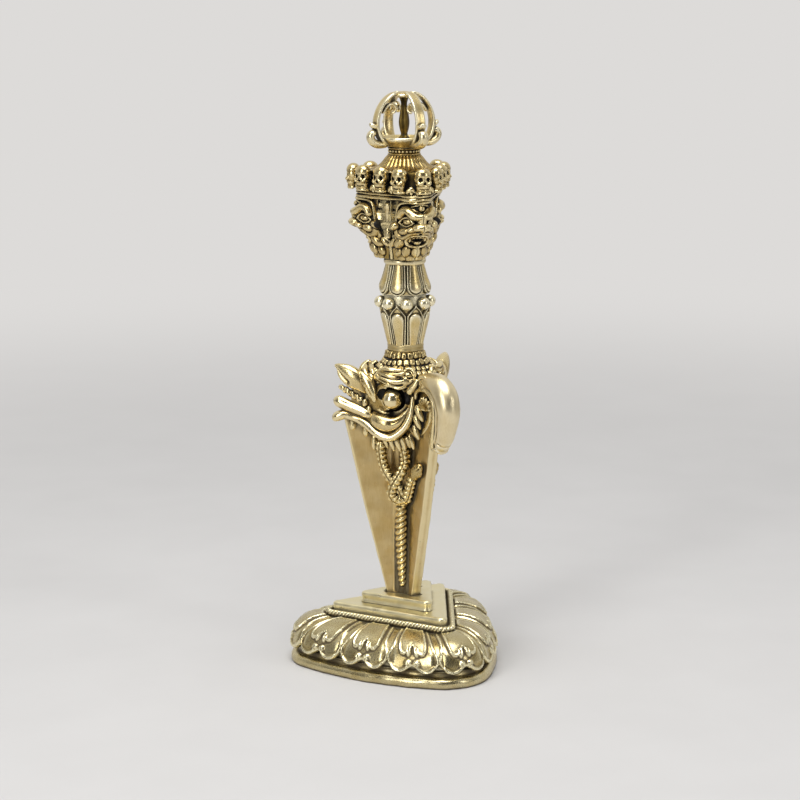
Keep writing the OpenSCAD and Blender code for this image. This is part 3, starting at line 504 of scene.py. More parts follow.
# Under the tips the metal is drawn back to the hollow over the foot plate
# [how far in from the tips, height over them]
tip_back = [[0.25, -0.22], [0.6, -0.2], [1.0, 0.05], [1.5, 0.3]]
seat_inset, seat_wall, top_round = 2.1, 0.45, 1.9
under = []
for inset, lift in tip_back:
    base, _ = three_corner(corner_spread, slope_r[-1] - inset, bow[-1], turn[0])
    under.append(np.column_stack([base, slope_z[-1] + lift]))
seat, _ = three_corner(corner_spread, foot_round - seat_inset, foot_bow, turn[0])
under.append(np.column_stack([seat, np.full(columns, foot_high.z + seat_wall)]))
under.append(np.column_stack([seat, np.full(columns, foot_high.z)]))
top, _ = three_corner(corner_spread, top_round, 0, turn[0])
over = [np.column_stack([top, np.full(columns, course_top)])]


# Socket: the three-rayed hole that the blade stands in, cast through the petals and both steps.
# Its walls keep a small gap from the blade, so that the dagger lifts out by hand.
socket_gap = 0.3
blade_low, blade_high = corners_of("blade")
upper_high = corners_of("upper_step")[1]
vane_t = 2.2
# Reach and half thickness of a vane at the blade's tip, and its reach at the top of the stand
tip_reach, tip_half = 1.4, 0.65
seat_reach = 4.1


def vane_root(reach):
    """Where a vane's flank meets the web at the axis, and how far the web reaches in a groove.
    Both shrink with the vane towards the blade's tip."""
    return min(2.6, 0.7 * reach), min(1.9, 0.62 * reach)


def three_vanes(half_vane, steps):
    """Section of three vanes from half of one, with each of its sides cut into steps."""
    mirror = [[math.cos(2 * SIXTY) * p[0] + math.sin(2 * SIXTY) * p[1],
               math.sin(2 * SIXTY) * p[0] - math.cos(2 * SIXTY) * p[1]] for p in half_vane[:0:-1][1:]]
    ring = []
    for k in range(3):
        a = first_vane + 2 * SIXTY * k
        spin = np.array([[math.cos(a), math.sin(a)], [-math.sin(a), math.cos(a)]])
        ring.append(np.array(half_vane + mirror) @ spin)
    ring = np.vstack(ring)
    out = []
    for i in range(len(ring)):
        t = np.linspace(0, 1, steps[i % len(steps)], endpoint=False)[:, None]
        out.append(ring[i] + (ring[(i + 1) % len(ring)] - ring[i]) * t)
    return np.vstack(out)


def socket_row(z, count):
    """Outline of the socket at a height, with a number of points."""
    t = np.clip((z - blade_low.z) / (upper_high.z - blade_low.z), 0, 1)
    reach, half = tip_reach + (seat_reach - tip_reach) * t, tip_half + (vane_t / 2 - tip_half) * t
    root, groove = vane_root(reach)
    far, half, groove = reach + socket_gap, half + socket_gap, groove + socket_gap
    ring = three_vanes([[far, 0], [far, half], [root, half],
                        [groove * math.cos(SIXTY), groove * math.sin(SIXTY)]],
                       np.array([1, 2, 2, 2, 2, 1]) * max(1, count // 30))
    # The same number of points as the outline that it is joined to
    at = np.linspace(0, len(ring), count, endpoint=False)
    low = at.astype(int)
    part = (at - low)[:, None]
    xy = ring[low % len(ring)] * (1 - part) + ring[(low + 1) % len(ring)] * part
    return np.column_stack([xy, np.full(count, z)])


hole = [socket_row(course_top, columns), socket_row(foot_high.z, columns)]
course_rows = hole[::-1][:1] + under[::-1] + list(front[::-1]) + over + hole[:1]
course = mesh_object("lotus_petals", np.vstack(course_rows), grid(len(course_rows), columns, True))
finished(course, "stand", "stand_brass", stand_finish, "lotus_course", reach=0.55, uneven=0.02)


# Twisted wire: two drawn wires laid round each other, soldered round the foot of the steps.
# Brass like the stand, with the patina left between its turns.
wire_low, wire_high = corners_of("twisted_wire")
wire_d = wire_high.z - wire_low.z
wire_round = 2.05
# Shares of the wire's height: half the distance between its strands, their middle, and their radius
strand_apart, strand_middle, strand_r = 0.27, 0.68, 0.4


def sweep(line, radius, sides, up=(0, 0, 1), wide=1.0, thick=1.0, closed=False, skin=None):
    """Tube of rings along a line. skin(along, angle, radius) gives a height over that radius, in mm."""
    line = np.asarray(line, float)
    radius = np.broadcast_to(np.asarray(radius, float), (len(line),))
    if closed:
        ahead, back = np.roll(line, -1, 0), np.roll(line, 1, 0)
    else:
        ahead, back = np.vstack([line[1:], line[-1:]]), np.vstack([line[:1], line[:-1]])
    heading = ahead - back
    heading /= np.linalg.norm(heading, axis=1)[:, None]
    side = np.zeros_like(line)
    last = np.asarray(up, float)
    for i, t in enumerate(heading):
        last = last - t * (last @ t)
        last /= np.linalg.norm(last)
        side[i] = last
    over = np.cross(heading, side)
    a = 2 * math.pi * np.arange(sides) / sides
    along = np.concatenate([[0], np.cumsum(np.linalg.norm(np.diff(line, axis=0), axis=1))])
    r = np.broadcast_to(radius[:, None], (len(line), sides))
    if skin is not None:
        r = r + skin(along[:, None], a[None, :], r)
    ring = (side[:, None] * (np.cos(a) * wide)[None, :, None]
            + over[:, None] * (np.sin(a) * thick)[None, :, None])
    points = line[:, None] + ring * r[..., None]
    return points.reshape(-1, 3), grid(len(line), sides, True) if closed else capped(len(line), sides)


def joined(name, parts):
    """One mesh of several closed shells."""
    points, faces, start = [], [], 0
    for p, f in parts:
        points.append(p)
        faces.extend([[start + k for k in face] for face in (f.tolist() if isinstance(f, np.ndarray) else f)])
        start += len(p)
    return mesh_object(name, np.vstack(points), faces)


twists = 56
per_twist = 16
count = twists * per_twist
turn = np.arange(count) / count
xy, way = three_corner(corner_spread, wire_round, 0, turn)
strands = []
for k in range(2):
    a = 2 * math.pi * (twists * turn + k / 2)
    reach = wire_d * strand_apart
    line = np.column_stack([xy + way * (reach * np.cos(a))[:, None],
                            wire_low.z + wire_d * strand_middle + reach * np.sin(a)])
    strands.append(sweep(line, wire_d * strand_r, 12, closed=True))
wire = joined("twisted_wire_pair", strands)
finished(wire, "stand", "stand_brass", stand_finish, "twisted_wire", uneven=0, reach=0.25)


# Steps: two three-cornered blocks over the petals, cast with them, their top edges polished round.
# Filed flat and buffed, they are the smoothest part of the stand.
# Polished cast brass: broad, soft reflections, with little dark left on the flats
step_finish = aged_brass("polished_cast_brass_steps", "#EFE3B8", "#A48F58", "#43351F", gloss=0.32, patina=0.7,
                         grain_mm=2.5)
step_round = 1.2
# [how far in from the upright face, height under the step's top]
step_top = [[0, -0.75], [0, -0.55], [0.06, -0.32], [0.2, -0.13], [0.42, -0.02], [0.7, 0], [1.1, -0.02]]
# [how far in from the upright face, height over the step's seat]
step_side = [[0.0, 0], [0.02, 0.12], [0.16, 0.4], [0.24, 0.9]]
step_count = 510


def step_rows(spread, low, high):
    """Rows up a step. From 1 mm in, its corners draw in as well as tighten."""
    rows = []
    for inset, z in [[i, low + h] for i, h in step_side] + [[i, high + h] for i, h in step_top]:
        xy, _ = three_corner(spread - 2 * max(0, inset - 1), max(step_round - inset, 0.2), 0,
                             np.arange(step_count) / step_count)
        rows.append(np.column_stack([xy, np.full(step_count, z)]))
    return rows


for name, spread in [("lower_step", 14.3), ("upper_step", 8.3)]:
    low, high = corners_of(name)
    rows = step_rows(spread, low.z, high.z)
    rim_row = rows[-1]
    edge = socket_row(high.z, step_count)
    for part in (0.3, 0.6, 0.85):
        row = rim_row * (1 - part) + edge * part
        row[:, 2] -= 0.05 * math.sin(part * math.pi)
        rows.append(row)
    edge[:, 2] -= 0.02
    rows += [edge, socket_row(low.z, step_count)]
    step = mesh_object(name + "_block", np.vstack(rows), grid(len(rows), step_count, True))
    finished(step, "stand", "stand_brass", step_finish, name, uneven=0.03, reach=0.7)


# Blade: three tapering vanes round one axis, cast in one, filed flat and brushed along their length.
# A small bevel breaks each vane's edge, and the vanes meet in a web at the axis.
# Brushed brass: fine lines along each vane, with painted sheen drawn out along them in tall bright lines
blade_finish = aged_brass("brushed_brass_blade", "#EEDDAE", "#C2A468", "#20170C", gloss=0.33, patina=0.9,
                          brushed=(11.0, 11.0, 0.4), wear=0.9, painted_sheen_share=0.2, scratch=0.008)
vane_reach = abs(blade_low.y)
edge_bevel = 0.28
# Share of its growth in reach that a vane has made halfway up
middle_share = 0.53
# Cuts along each side of half a vane and of its mirror image, close enough to carry the patina's edge
vane_cuts = [1, 1, 1, 34, 1, 3, 3, 1, 34, 1, 1, 1]
blade_rows = 200


def blade_row(z):
    reach = np.interp(z, [blade_low.z, upper_high.z, (upper_high.z + blade_high.z) / 2, blade_high.z],
                      [tip_reach, seat_reach, seat_reach + (vane_reach - seat_reach) * middle_share,
                       vane_reach])
    half = np.interp(z, [blade_low.z, upper_high.z], [tip_half, vane_t / 2])
    root, groove = vane_root(reach)
    c = edge_bevel
    xy = three_vanes([[reach, 0], [reach, half - c], [reach - c * 0.3, half - c * 0.3], [reach - c, half],
                      [root + 0.3, half], [root, half + 0.1],
                      [groove * math.cos(SIXTY), groove * math.sin(SIXTY)]], vane_cuts)
    return np.column_stack([xy, np.full(len(xy), z)])


rows = [blade_row(z) for z in np.linspace(blade_low.z, blade_high.z, blade_rows)]
blade = mesh_object("three_vaned_blade", np.vstack(rows), capped(len(rows), len(rows[0])))
finished(blade, "phurba", "brushed_brass", blade_finish, "blade", uneven=0.035, reach=0.5)


# Serpents: two naga bodies chased in each groove of the blade, crossing, with scales in two rows.
# One ends in a head on the trunk vane's flank, the other in a tail twisted like a rope.
# Rubbed cast brass on small relief: a spark of gold on each scale, with black between them
serpent_finish = aged_brass("rubbed_cast_brass_scales", "#F0DCA4", "#A88B4C", "#17110A", gloss=0.26)
serpent_r = 1.15
groove_low, groove_high = upper_high.z, 49.0
# [x, y, share of the way from the stand up to the head, thickness] of the left groove's serpents
serpent_one = [[-3.9, -4.3, 1.01, 1], [-2.9, -4.1, 0.93, 1], [-2.4, -3.9, 0.85, 1],
               [-3.4, -3.9, 0.78, 1], [-4.4, -2.6, 0.7, 1], [-4.5, -1.9, 0.64, 1],
               [-3.4, -2.6, 0.6, 1], [-2.2, -3.7, 0.61, 1], [-2, -4.6, 0.66, 1],
               [-2, -5.6, 0.72, 0.95], [-2.05, -6.6, 0.77, 0.95]]
serpent_two = [[-6.6, -1.2, 0.98, 1], [-6.2, -0.6, 0.9, 1], [-5.6, -0.7, 0.81, 1],
               [-4.6, -1.6, 0.74, 1], [-3.2, -2.9, 0.68, 1], [-2.3, -2.9, 0.61, 1],
               [-2.3, -2.2, 0.55, 0.9]]
serpent_tail = [[-2.35, -2.1, 0.57, 1.1], [-2.2, -1.8, 0.4, 1.15], [-1.9, -1.55, 0.2, 1.0],
                [-1.6, -1.3, 0.04, 0.7]]


def rounded_tube(points, sides=14, steps=7, up=(0, 0, 1), wide=1.0, thick=1.0, skin=None):
    """Tube with round ends through given points, each [x, y, z, radius]."""
    line = smooth_line(points, steps)
    run = np.concatenate([[0], np.cumsum(np.linalg.norm(np.diff(line[:, :3], axis=0), axis=1))])
    radius = np.maximum(line[:, 3], 0.03)
    reach = np.clip(np.minimum(run, run[-1] - run) / np.maximum(radius, 0.05), 0.02, 1)
    radius = radius * np.sqrt(1 - (1 - reach) ** 2)
    return sweep(line[:, :3], radius, sides, up=up, wide=wide, thick=thick, skin=skin)


def ball(centre, radii, rows=12, columns=18):
    """Ellipsoid round a centre."""
    v = np.linspace(0.03, math.pi - 0.03, rows)[:, None]
    a = 2 * math.pi * np.arange(columns)[None, :] / columns
    unit = np.stack([np.sin(v) * np.cos(a), np.sin(v) * np.sin(a), -np.cos(v) + 0 * a], -1)
    return (np.asarray(centre) + unit * np.asarray(radii)).reshape(-1, 3), capped(rows, columns)


def mirrored(parts):
    """The same shells and their mirror images over x = 0."""
    flip = np.array([-1.0, 1, 1])
    return parts + [(p * flip, [list(f)[::-1] for f in faces]) for p, faces in parts]


def taken(form):
    """The shell of a form that other pieces are made of, which itself leaves the scene."""
    shell = (points_of(form), [list(f.vertices) for f in form.data.polygons])
    bpy.data.objects.remove(form, do_unlink=True)
    return shell


def turned(parts, angle):
    """The same shells turned about the upright axis."""
    c, s = math.cos(angle), math.sin(angle)
    spin = np.array([[c, s, 0], [-s, c, 0], [0, 0, 1]])
    return [(p @ spin, faces) for p, faces in parts]


def fused(name, parts, voxel=0.14, rounds=2):
    """Closed shells run together into one skin, as wax forms are, and smoothed a little."""
    rough = joined(name + "_wax", parts)
    set_points(rough, points_of(rough) / MM)
    change = rough.modifiers.new("one_skin", "REMESH")
    change.mode = "VOXEL"
    change.voxel_size = voxel
    done = rough.evaluated_get(bpy.context.evaluated_depsgraph_get()).to_mesh()
    points = np.zeros(len(done.vertices) * 3, np.float32)
    done.vertices.foreach_get("co", points)
    starts = np.zeros(len(done.polygons), np.int32)
    sizes = np.zeros(len(done.polygons), np.int32)
    corners = np.zeros(len(done.loops), np.int32)
    done.polygons.foreach_get("loop_start", starts)
    done.polygons.foreach_get("loop_total", sizes)
    done.loops.foreach_get("vertex_index", corners)
    if (sizes == 4).all():
        faces = corners.reshape(-1, 4)
    else:
        faces = [corners[s:s + n].tolist() for s, n in zip(starts, sizes)]
    made = mesh_object(name, points.reshape(-1, 3), faces)
    bpy.data.objects.remove(rough, do_unlink=True)
    set_points(made, softened(made, points_of(made), rounds))
    return made


def chased(made, strokes):
    """Strokes cut into a skin (height under 0) or raised on it: [line, half width, height]."""
    points, out = points_of(made), normals_of(made)
    lift = np.zeros(len(points))
    for line, width, height in strokes:
        line = smooth_line(line, 4)[:, :3]
        near = (points > line.min(0) - 3 * width).all(1) & (points < line.max(0) + 3 * width).all(1)
        p = points[near]
        best = np.full(len(p), 99.0)
        for a, b in zip(line[:-1], line[1:]):
            d = b - a
            t = np.clip((p - a) @ d / max(d @ d, 1e-9), 0, 1)
            best = np.minimum(best, np.linalg.norm(p - a - t[:, None] * d, axis=1))
        lift[near] += height * np.exp(-(best / width) ** 2)
    set_points(made, points + lift[:, None] * out)


def on_groove(points):
    return [[x, y, groove_low + (groove_high - groove_low) * h, r * serpent_r] for x, y, h, r in points]


def scales(along, a, r):
    """Two rows of oval scales, staggered, over a body whose back is at a = 0."""
    row = np.cos(2 * math.pi * along / 1.15 + math.pi * (np.sin(a) > 0))
    return r * (0.22 * np.clip(row + 0.5, 0, 1) ** 0.6 * np.abs(np.sin(a)) ** 0.4 - 0.16
                - 0.12 * bell(np.sin(a), 0.18))


def rope(along, a, r):
    """Two strands laid round each other."""
    return -0.3 * r * (0.5 + 0.5 * np.cos(2 * a - 2 * math.pi * along / 1.3)) ** 1.5


# Outward over the left groove, which is also the makara's left flank
flank = (-0.866, -0.5, 0)
# Head: a blunt skull and snout over a lower jaw, with a punched eye and a cut mouth
head_form = fused("naga_head", [
    rounded_tube([[-1.9, -6.2, 40.4, 0.9], [-1.95, -6.9, 41.3, 1.15], [-1.9, -7.7, 42.4, 1.3],
                  [-1.9, -8.7, 43.3, 1.15], [-1.85, -9.5, 43.9, 0.9]], 20, 8, up=(-1, 0, 0), wide=0.8),
    rounded_tube([[-1.8, -7.2, 41.4, 0.8], [-1.8, -8.3, 41.9, 0.85], [-1.75, -9.4, 42.6, 0.6]], 16, 7,
                 up=(-1, 0, 0), wide=0.8)], 0.1, 1)
chased(head_form, [[[[-2.5, -8.0, 42.4], [-2.6, -8.8, 42.8], [-2.4, -9.9, 43.3]], 0.16, -0.4],
                   [[[-3.0, -8.25, 43.5], [-2.95, -8.35, 43.55]], 0.24, -0.45],
                   [[[-2.9, -7.3, 42.2], [-2.95, -7.5, 43.0], [-2.7, -7.9, 43.9]], 0.14, -0.2]])
serpent_parts = [
    rounded_tube(on_groove(serpent_one), 24, 16, up=flank, skin=scales),
    rounded_tube(on_groove(serpent_two), 24, 16, up=flank, skin=scales),
    rounded_tube(on_groove(serpent_tail), 20, 40, up=flank, skin=rope),
    taken(head_form)]
for name, parts in [("left", serpent_parts), ("right", mirrored(serpent_parts)[len(serpent_parts):]),
                    ("back", turned(serpent_parts, math.radians(-120)))]:
    made = joined("naga_pair_" + name, parts)
    finished(made, "phurba", "antiqued_brass", serpent_finish, "serpents_" + name, uneven=0.0, reach=0.35)

# The ground round the serpents was left black when the blade was filed bright.
black_reach, black_edge = 1.85, 0.35
naga_lines = np.vstack([smooth_line(on_groove(part), 6)[:, :3]
                        for part in (serpent_one, serpent_two, serpent_tail)])
ground = points_of(blade)
near = np.full(len(ground), 99.0)
for line in (naga_lines, naga_lines * [-1, 1, 1], turned([(naga_lines, [])], math.radians(-120))[0][0]):
    for point in line:
        near = np.minimum(near, np.linalg.norm(ground - point, axis=1))
patina_and_shade_darkened(blade, step_up(black_reach - near, black_edge))


# Makara head: the water monster that spits out the blade, cast in one over the vanes and chased.
# Its brows, pouches, mane and beard are laid over a three-cornered body and blackened between.
# Rubbed cast brass: the high forms shine gold, and the ground between them stays black
makara_finish = aged_brass("rubbed_cast_brass_makara", "#F0DDA8", "#AC8F50", "#15100A", gloss=0.25)
body_low, body_h = 49.0, 13.6
body_columns = 120
trunk_vane_reach, side_vane_reach = 14.6, 11.4
# [share of the height, reach over a groove, over a side vane, over the trunk's vane]
body_levels = smooth_line([[0, 4.4, 0.68, 0.55], [0.12, 5.4, 0.92, 0.7], [0.32, 5.9, 1.05, 0.84],
                           [0.6, 5.9, 1.05, 0.88], [0.8, 6.2, 0.95, 0.88], [0.94, 6.2, 0.8, 0.75],
                           [1, 5.7, 0.65, 0.51]], 6)

a = 2 * math.pi * np.arange(body_columns) / body_columns
rows = []
for share, groove, side_share, trunk_share in body_levels:
    # The body lies thin over the trunk's vane, and over the side vanes where they stand bare below
    thin = np.where(np.cos(a) > 0.5, 4.0, np.interp(share, [0, 0.2, 0.36], [5.0, 5.0, 1.6]))
    lobe = ((1 + np.cos(3 * a)) / 2) ** thin
    peak = np.where(np.cos(a) > 0.5, trunk_share * trunk_vane_reach, side_share * side_vane_reach)
    r = groove + (peak - groove) * lobe
    x, y = r * np.sin(a), -r * np.cos(a)
    # Forward of the flanks the body is no wider than the trunk's vane and its rims
    beside = np.interp(-y, [5.0, 7.0], [9.0, 1.25])
    rows.append(np.column_stack([np.clip(x, -beside, beside), y,
                                 np.full(body_columns, body_low + share * body_h)]))
body = (np.vstack(rows), capped(len(rows), body_columns))

left = [
    # Brow: a broad plate over the eye with its lower edge rolled, that curls up towards the trunk
    rounded_tube([[-7.9, -0.6, 61.5, 0.5], [-7.2, -2.3, 61.9, 1.0], [-6.3, -4.2, 61.4, 1.15],
                  [-5.0, -5.3, 60.9, 1.2], [-3.7, -6.1, 61.1, 1.15], [-2.9, -6.7, 61.9, 1.0]],
                 20, 8, up=flank, wide=0.85, thick=1.15),
    rounded_tube([[-7.3, -1.2, 62.5, 0.5], [-6.7, -2.9, 63.1, 0.85], [-5.7, -4.3, 63.0, 1.0],
                  [-4.6, -5.3, 62.8, 1.0], [-3.5, -6.0, 63.2, 0.85]], 18, 8, up=flank, wide=0.8, thick=1.1),
    rounded_tube([[-3.6, -6.7, 60.7, 0.4], [-2.6, -7.2, 61.5, 0.5], [-2.1, -7.2, 62.6, 0.52],
                  [-2.4, -6.5, 63.5, 0.5], [-3.1, -6.1, 63.6, 0.46], [-3.5, -6.1, 63.0, 0.42],
                  [-3.1, -6.5, 62.5, 0.38], [-2.8, -6.7, 62.8, 0.34]], 14, 8, up=flank),
    rounded_tube([[-7.2, -1.8, 60.8, 0.35], [-6.5, -4.0, 60.2, 0.42], [-5.0, -5.9, 59.9, 0.45],
                  [-3.6, -6.7, 60.4, 0.35]], 14, 6, up=flank),
    # Leaves behind the brow
    rounded_tube([[-7.0, -2.8, 61.9, 0.35], [-7.2, -1.9, 62.4, 0.5], [-7.1, -1.0, 62.9, 0.3]], 12, 6),
    rounded_tube([[-8.3, -0.3, 58.2, 0.4], [-8.2, -0.5, 59.8, 0.65], [-8.0, 0.1, 61.4, 0.75],
                  [-8.0, 0.9, 62.3, 0.35]], 14, 6),
    # Lid beside the trunk's root, and the thin lids round the ball of the eye
    rounded_tube([[-1.9, -8.3, 61.9, 0.5], [-2.2, -8.0, 60.7, 0.75], [-2.9, -7.2, 59.5, 0.85],
                  [-3.3, -6.5, 58.5, 0.6]], 16, 8, up=flank),
    rounded_tube([[-6.4, -4.9, 59.5, 0.2], [-5.3, -5.8, 58.6, 0.28], [-4.8, -6.0, 57.2, 0.3],
                  [-4.9, -5.8, 55.9, 0.26], [-5.6, -5.2, 55.1, 0.2]], 12, 6),
    rounded_tube([[-7.8, -1.7, 55.2, 0.22], [-7.3, -3.0, 54.6, 0.3], [-6.3, -4.4, 54.6, 0.25]], 12, 6),
    # Pouch under the eye, a crescent
    rounded_tube([[-8.2, -0.5, 54.2, 0.7], [-8.0, -2.0, 52.9, 1.45], [-6.8, -3.7, 52.2, 1.75],
                  [-5.4, -4.8, 52.4, 1.5], [-4.2, -5.6, 53.4, 1.0], [-3.2, -6.2, 54.9, 0.5],
                  [-2.9, -6.4, 55.6, 0.2]], 22, 8, up=flank, wide=0.95),
    # Small flame leaves where the trunk leaves the brow
    rounded_tube([[-1.9, -9.0, 60.3, 0.4], [-1.9, -10.1, 60.2, 0.6], [-1.9, -10.8, 60.8, 0.55],
                  [-1.9, -10.6, 61.6, 0.45], [-1.9, -9.9, 61.7, 0.35]], 14, 6),
    rounded_tube([[-2.0, -9.0, 61.5, 0.35], [-2.0, -9.5, 62.3, 0.45], [-1.8, -10.6, 62.6, 0.4],
                  [-1.6, -11.6, 62.3, 0.25]], 14, 6),
    # Arch of the mouth: its two rims, and the folds of the palate that spread from one point
    rounded_tube([[-2.0, -7.7, 57.4, 0.3], [-2.1, -7.9, 58.7, 0.42], [-2.1, -9.2, 59.7, 0.45],
                  [-2.0, -11.4, 59.9, 0.45], [-1.9, -13.2, 59.2, 0.45], [-1.8, -14.4, 57.4, 0.45],
                  [-1.8, -14.7, 54.8, 0.45], [-1.7, -14.2, 52.2, 0.5], [-1.5, -13.6, 49.8, 0.55],
                  [-1.4, -13.2, 48.0, 0.45]], 16, 8),
]
for k in range(9):
    a = math.radians(200 - 26 * k)
    left.append(rounded_tube([[-1.5, -11.2 + 0.3 * math.cos(a), 55.7, 0.25],
                              [-1.95, -11.2 - 1.3 * math.cos(a), 56.3 + 1.1 * math.sin(a), 0.35],
                              [-2.0, -11.2 - 2.4 * math.cos(a), 56.6 + 2.1 * math.sin(a), 0.38]], 10, 5))
# Beads down the inner rim of the mouth
bead_line = smooth_line([[-1.75, -13.3, 58.2, 0.38], [-1.8, -13.8, 56.6, 0.42], [-1.8, -13.9, 54.7, 0.42],
                         [-1.7, -13.5, 52.6, 0.4], [-1.6, -12.9, 50.4, 0.36],
                         [-1.5, -12.5, 48.8, 0.3]], 3)
left += [ball(p[:3], (0.35, 0.42, p[3] * 1.15), 8, 10) for p in bead_line]
# Beard leaves at the left of the trunk's vane, and the locks under the chin
for top, low, r in [
        [(-2.2, -8.4, 56.6), (-1.8, -10.2, 53.2), 0.9], [(-2.2, -7.6, 54.6), (-1.8, -9.2, 51.4), 0.85],
        [(-2.0, -6.8, 52.6), (-1.7, -8.4, 49.0), 0.85], [(-2.2, -5.2, 50.4), (-1.8, -6.5, 46.6), 0.75],
        [(-2.9, -5.4, 49.6), (-2.3, -5.7, 46.9), 0.6], [(-3.9, -4.9, 49.4), (-3.0, -5.2, 46.2), 0.62],
        [(-4.9, -4.3, 49.1), (-3.7, -4.5, 45.9), 0.62], [(-5.7, -3.4, 49.0), (-4.6, -3.4, 46.0), 0.6],
        [(-6.4, -2.2, 49.2), (-5.4, -2.0, 46.4), 0.6], [(-6.8, -0.9, 49.6), (-6.1, -0.5, 47.0), 0.58]]:
    top, low = np.array(top), np.array(low)
    left.append(rounded_tube([[*top, r * 0.8], [*(top * 0.6 + low * 0.4), r],
                              [*(top * 0.25 + low * 0.75), r * 0.7], [*low, 0.15]], 14, 6))
# Mane: thick locks between the ear and the neck, two beside the ear and two higher up
left += [rounded_tube([[-7.4 + 1.1 * k, 3.6 - 0.3 * k - 0.25 * k * k, 63.5 + 0.1 * k, 0.4],
                       [-8.5 + 1.3 * k, 2.0 - 0.7 * k, 62.6 + 0.1 * k, 0.62],
                       [-8.6 + 1.2 * k, 0.5 - 0.9 * k, 61.1 + 0.2 * k, 0.55],
                       [-8.0 + 1.0 * k, -0.4 - 0.9 * k, 59.9 + 0.4 * k, 0.3]], 14, 7) for k in (0, 1)]
left += [rounded_tube([[-4.6 - 0.9 * k, 3.4 + 1.2 * k, 64.0, 0.5],
                       [-5.6 - 1.1 * k, 4.2 + 1.1 * k, 63.2, 0.65],
                       [-6.6 - 1.0 * k, 4.6 + 1.0 * k, 61.6, 0.6],
                       [-7.2 - 1.0 * k, 4.6 + 1.0 * k, 59.8, 0.3]], 14, 7) for k in (0, 1)]
# Twisted whisker over the upper lip, and the two drops that end it
left.append(rounded_tube([[-12.7, 5.7, 59.3, 0.5], [-11.6, 4.2, 58.4, 0.75], [-10.4, 2.5, 57.3, 0.8],
                          [-9.6, 1.1, 56.5, 0.6]], 20, 14, skin=rope))
left += [ball((-9.5, 0.3, 56.2), (0.6, 0.6, 0.85), 10, 14),
         ball((-9.1, -0.6, 54.9), (0.55, 0.55, 0.8), 10, 14)]
# Mane down the back groove: long locks that fall from the neck and curl out at their ends
back = []
for k, (x, z) in enumerate([(0.0, 50.5), (1.7, 52.0), (3.3, 54.0)]):
    back.append(rounded_tube([[x * 0.7, 4.2, 63.8, 0.6], [x * 0.9, 6.2 - 0.2 * x, 61.5, 0.95],
                              [x, 6.6 - 0.2 * x, 58.5, 1.0], [x * 1.15, 6.6 - 0.1 * x, z + 3.2, 0.95],
                              [x * 1.3 + 0.3, 7.0, z + 0.9, 0.85], [x * 1.3 + 1.0, 7.5, z + 0.3, 0.6],
                              [x * 1.3 + 1.2, 7.5, z + 1.1, 0.4]], 18, 8,
                             skin=lambda s, a, r: -0.12 * r * (0.5 + 0.5 * np.cos(5 * a))))
monster = fused("makara_body", [body] + mirrored(left) + mirrored(back), 0.13, 2)


# Sockets: a round pit in each flank, wider than the ball that lies in it, with a smaller one on both sides
eye_centre, eye_r = np.array([-5.56, -4.07, 57.2]), 2.05
pits = [(eye_centre, 2.8), ((-3.7, -6.1, 57.5), 1.5), ((-7.3, -2.5, 57.9), 1.9)]
points = points_of(monster)
sunk = np.zeros(len(points))
for side, centre, pit_r in [(s, *pit) for s in (1, -1) for pit in pits]:
    out = np.array([flank[0] * side, flank[1], 0])
    away = points - np.array(centre) * [side, 1, 1]
    ahead = away @ out
    off_axis = np.linalg.norm(away - ahead[:, None] * out, axis=1)
    floor_at = -np.sqrt(np.clip(pit_r ** 2 - off_axis ** 2, 0, None))
    push = np.where((off_axis < pit_r) & (ahead > floor_at), floor_at - ahead, 0)
    points += push[:, None] * out
    sunk = np.maximum(sunk, push < 0)
set_points(monster, points)


def both_sides(cuts):
    """Cuts for the left side, and their mirror images on the right."""
    return cuts + [[[[-p[0], p[1], p[2]] for p in line], width, height] for line, width, height in cuts]


# Grooves chased along the brow, round its curl and under the pouch
brow_cuts = [[[[-8.0, -2.6, 62.4], [-7.2, -4.5, 62.0], [-5.9, -5.6, 61.6], [-4.6, -6.4, 61.9]], 0.3, -0.4],
             [[[-8.1, -2.7, 61.5], [-7.2, -4.7, 60.9], [-5.9, -5.8, 60.4], [-4.6, -6.5, 60.6]], 0.26, -0.35],
             [[[-7.5, -3.2, 63.3], [-6.4, -4.8, 63.2], [-5.2, -5.8, 63.1], [-4.1, -6.4, 63.4]], 0.24, -0.3],
             [[[-2.7, -7.4, 61.9], [-2.5, -7.2, 63.0], [-3.1, -6.7, 63.5], [-3.6, -6.6, 63.0],
               [-3.2, -6.9, 62.6]], 0.2, -0.3],
             [[[-8.7, -2.2, 53.4], [-7.9, -4.2, 52.6], [-6.2, -5.9, 52.8], [-4.6, -6.8, 54.0]], 0.22, -0.25]]
chased(monster, both_sides(brow_cuts))
finished(monster, "phurba", "antiqued_brass", makara_finish, "makara_head", uneven=0.0, reach=0.5)
patina_and_shade_darkened(monster, sunk)


# Eyes: a plain ball in each socket, cast with the head and burnished by rubbing.
# The black stays in the socket round it, which makes the ball stand out.
# Burnished cast brass: the smoothest skin of all, in which the lamps show as small lights
eye_finish = aged_brass("burnished_cast_brass", "#F2E0B0", "#B39657", "#1E170C", gloss=0.2, patina=0.8)
eyes = joined("makara_eyeballs", mirrored([ball(eye_centre, (eye_r, eye_r, eye_r), 40, 56)]))
finished(eyes, "phurba", "antiqued_brass", eye_finish, "makara_eyes", uneven=0.02, reach=0.5)
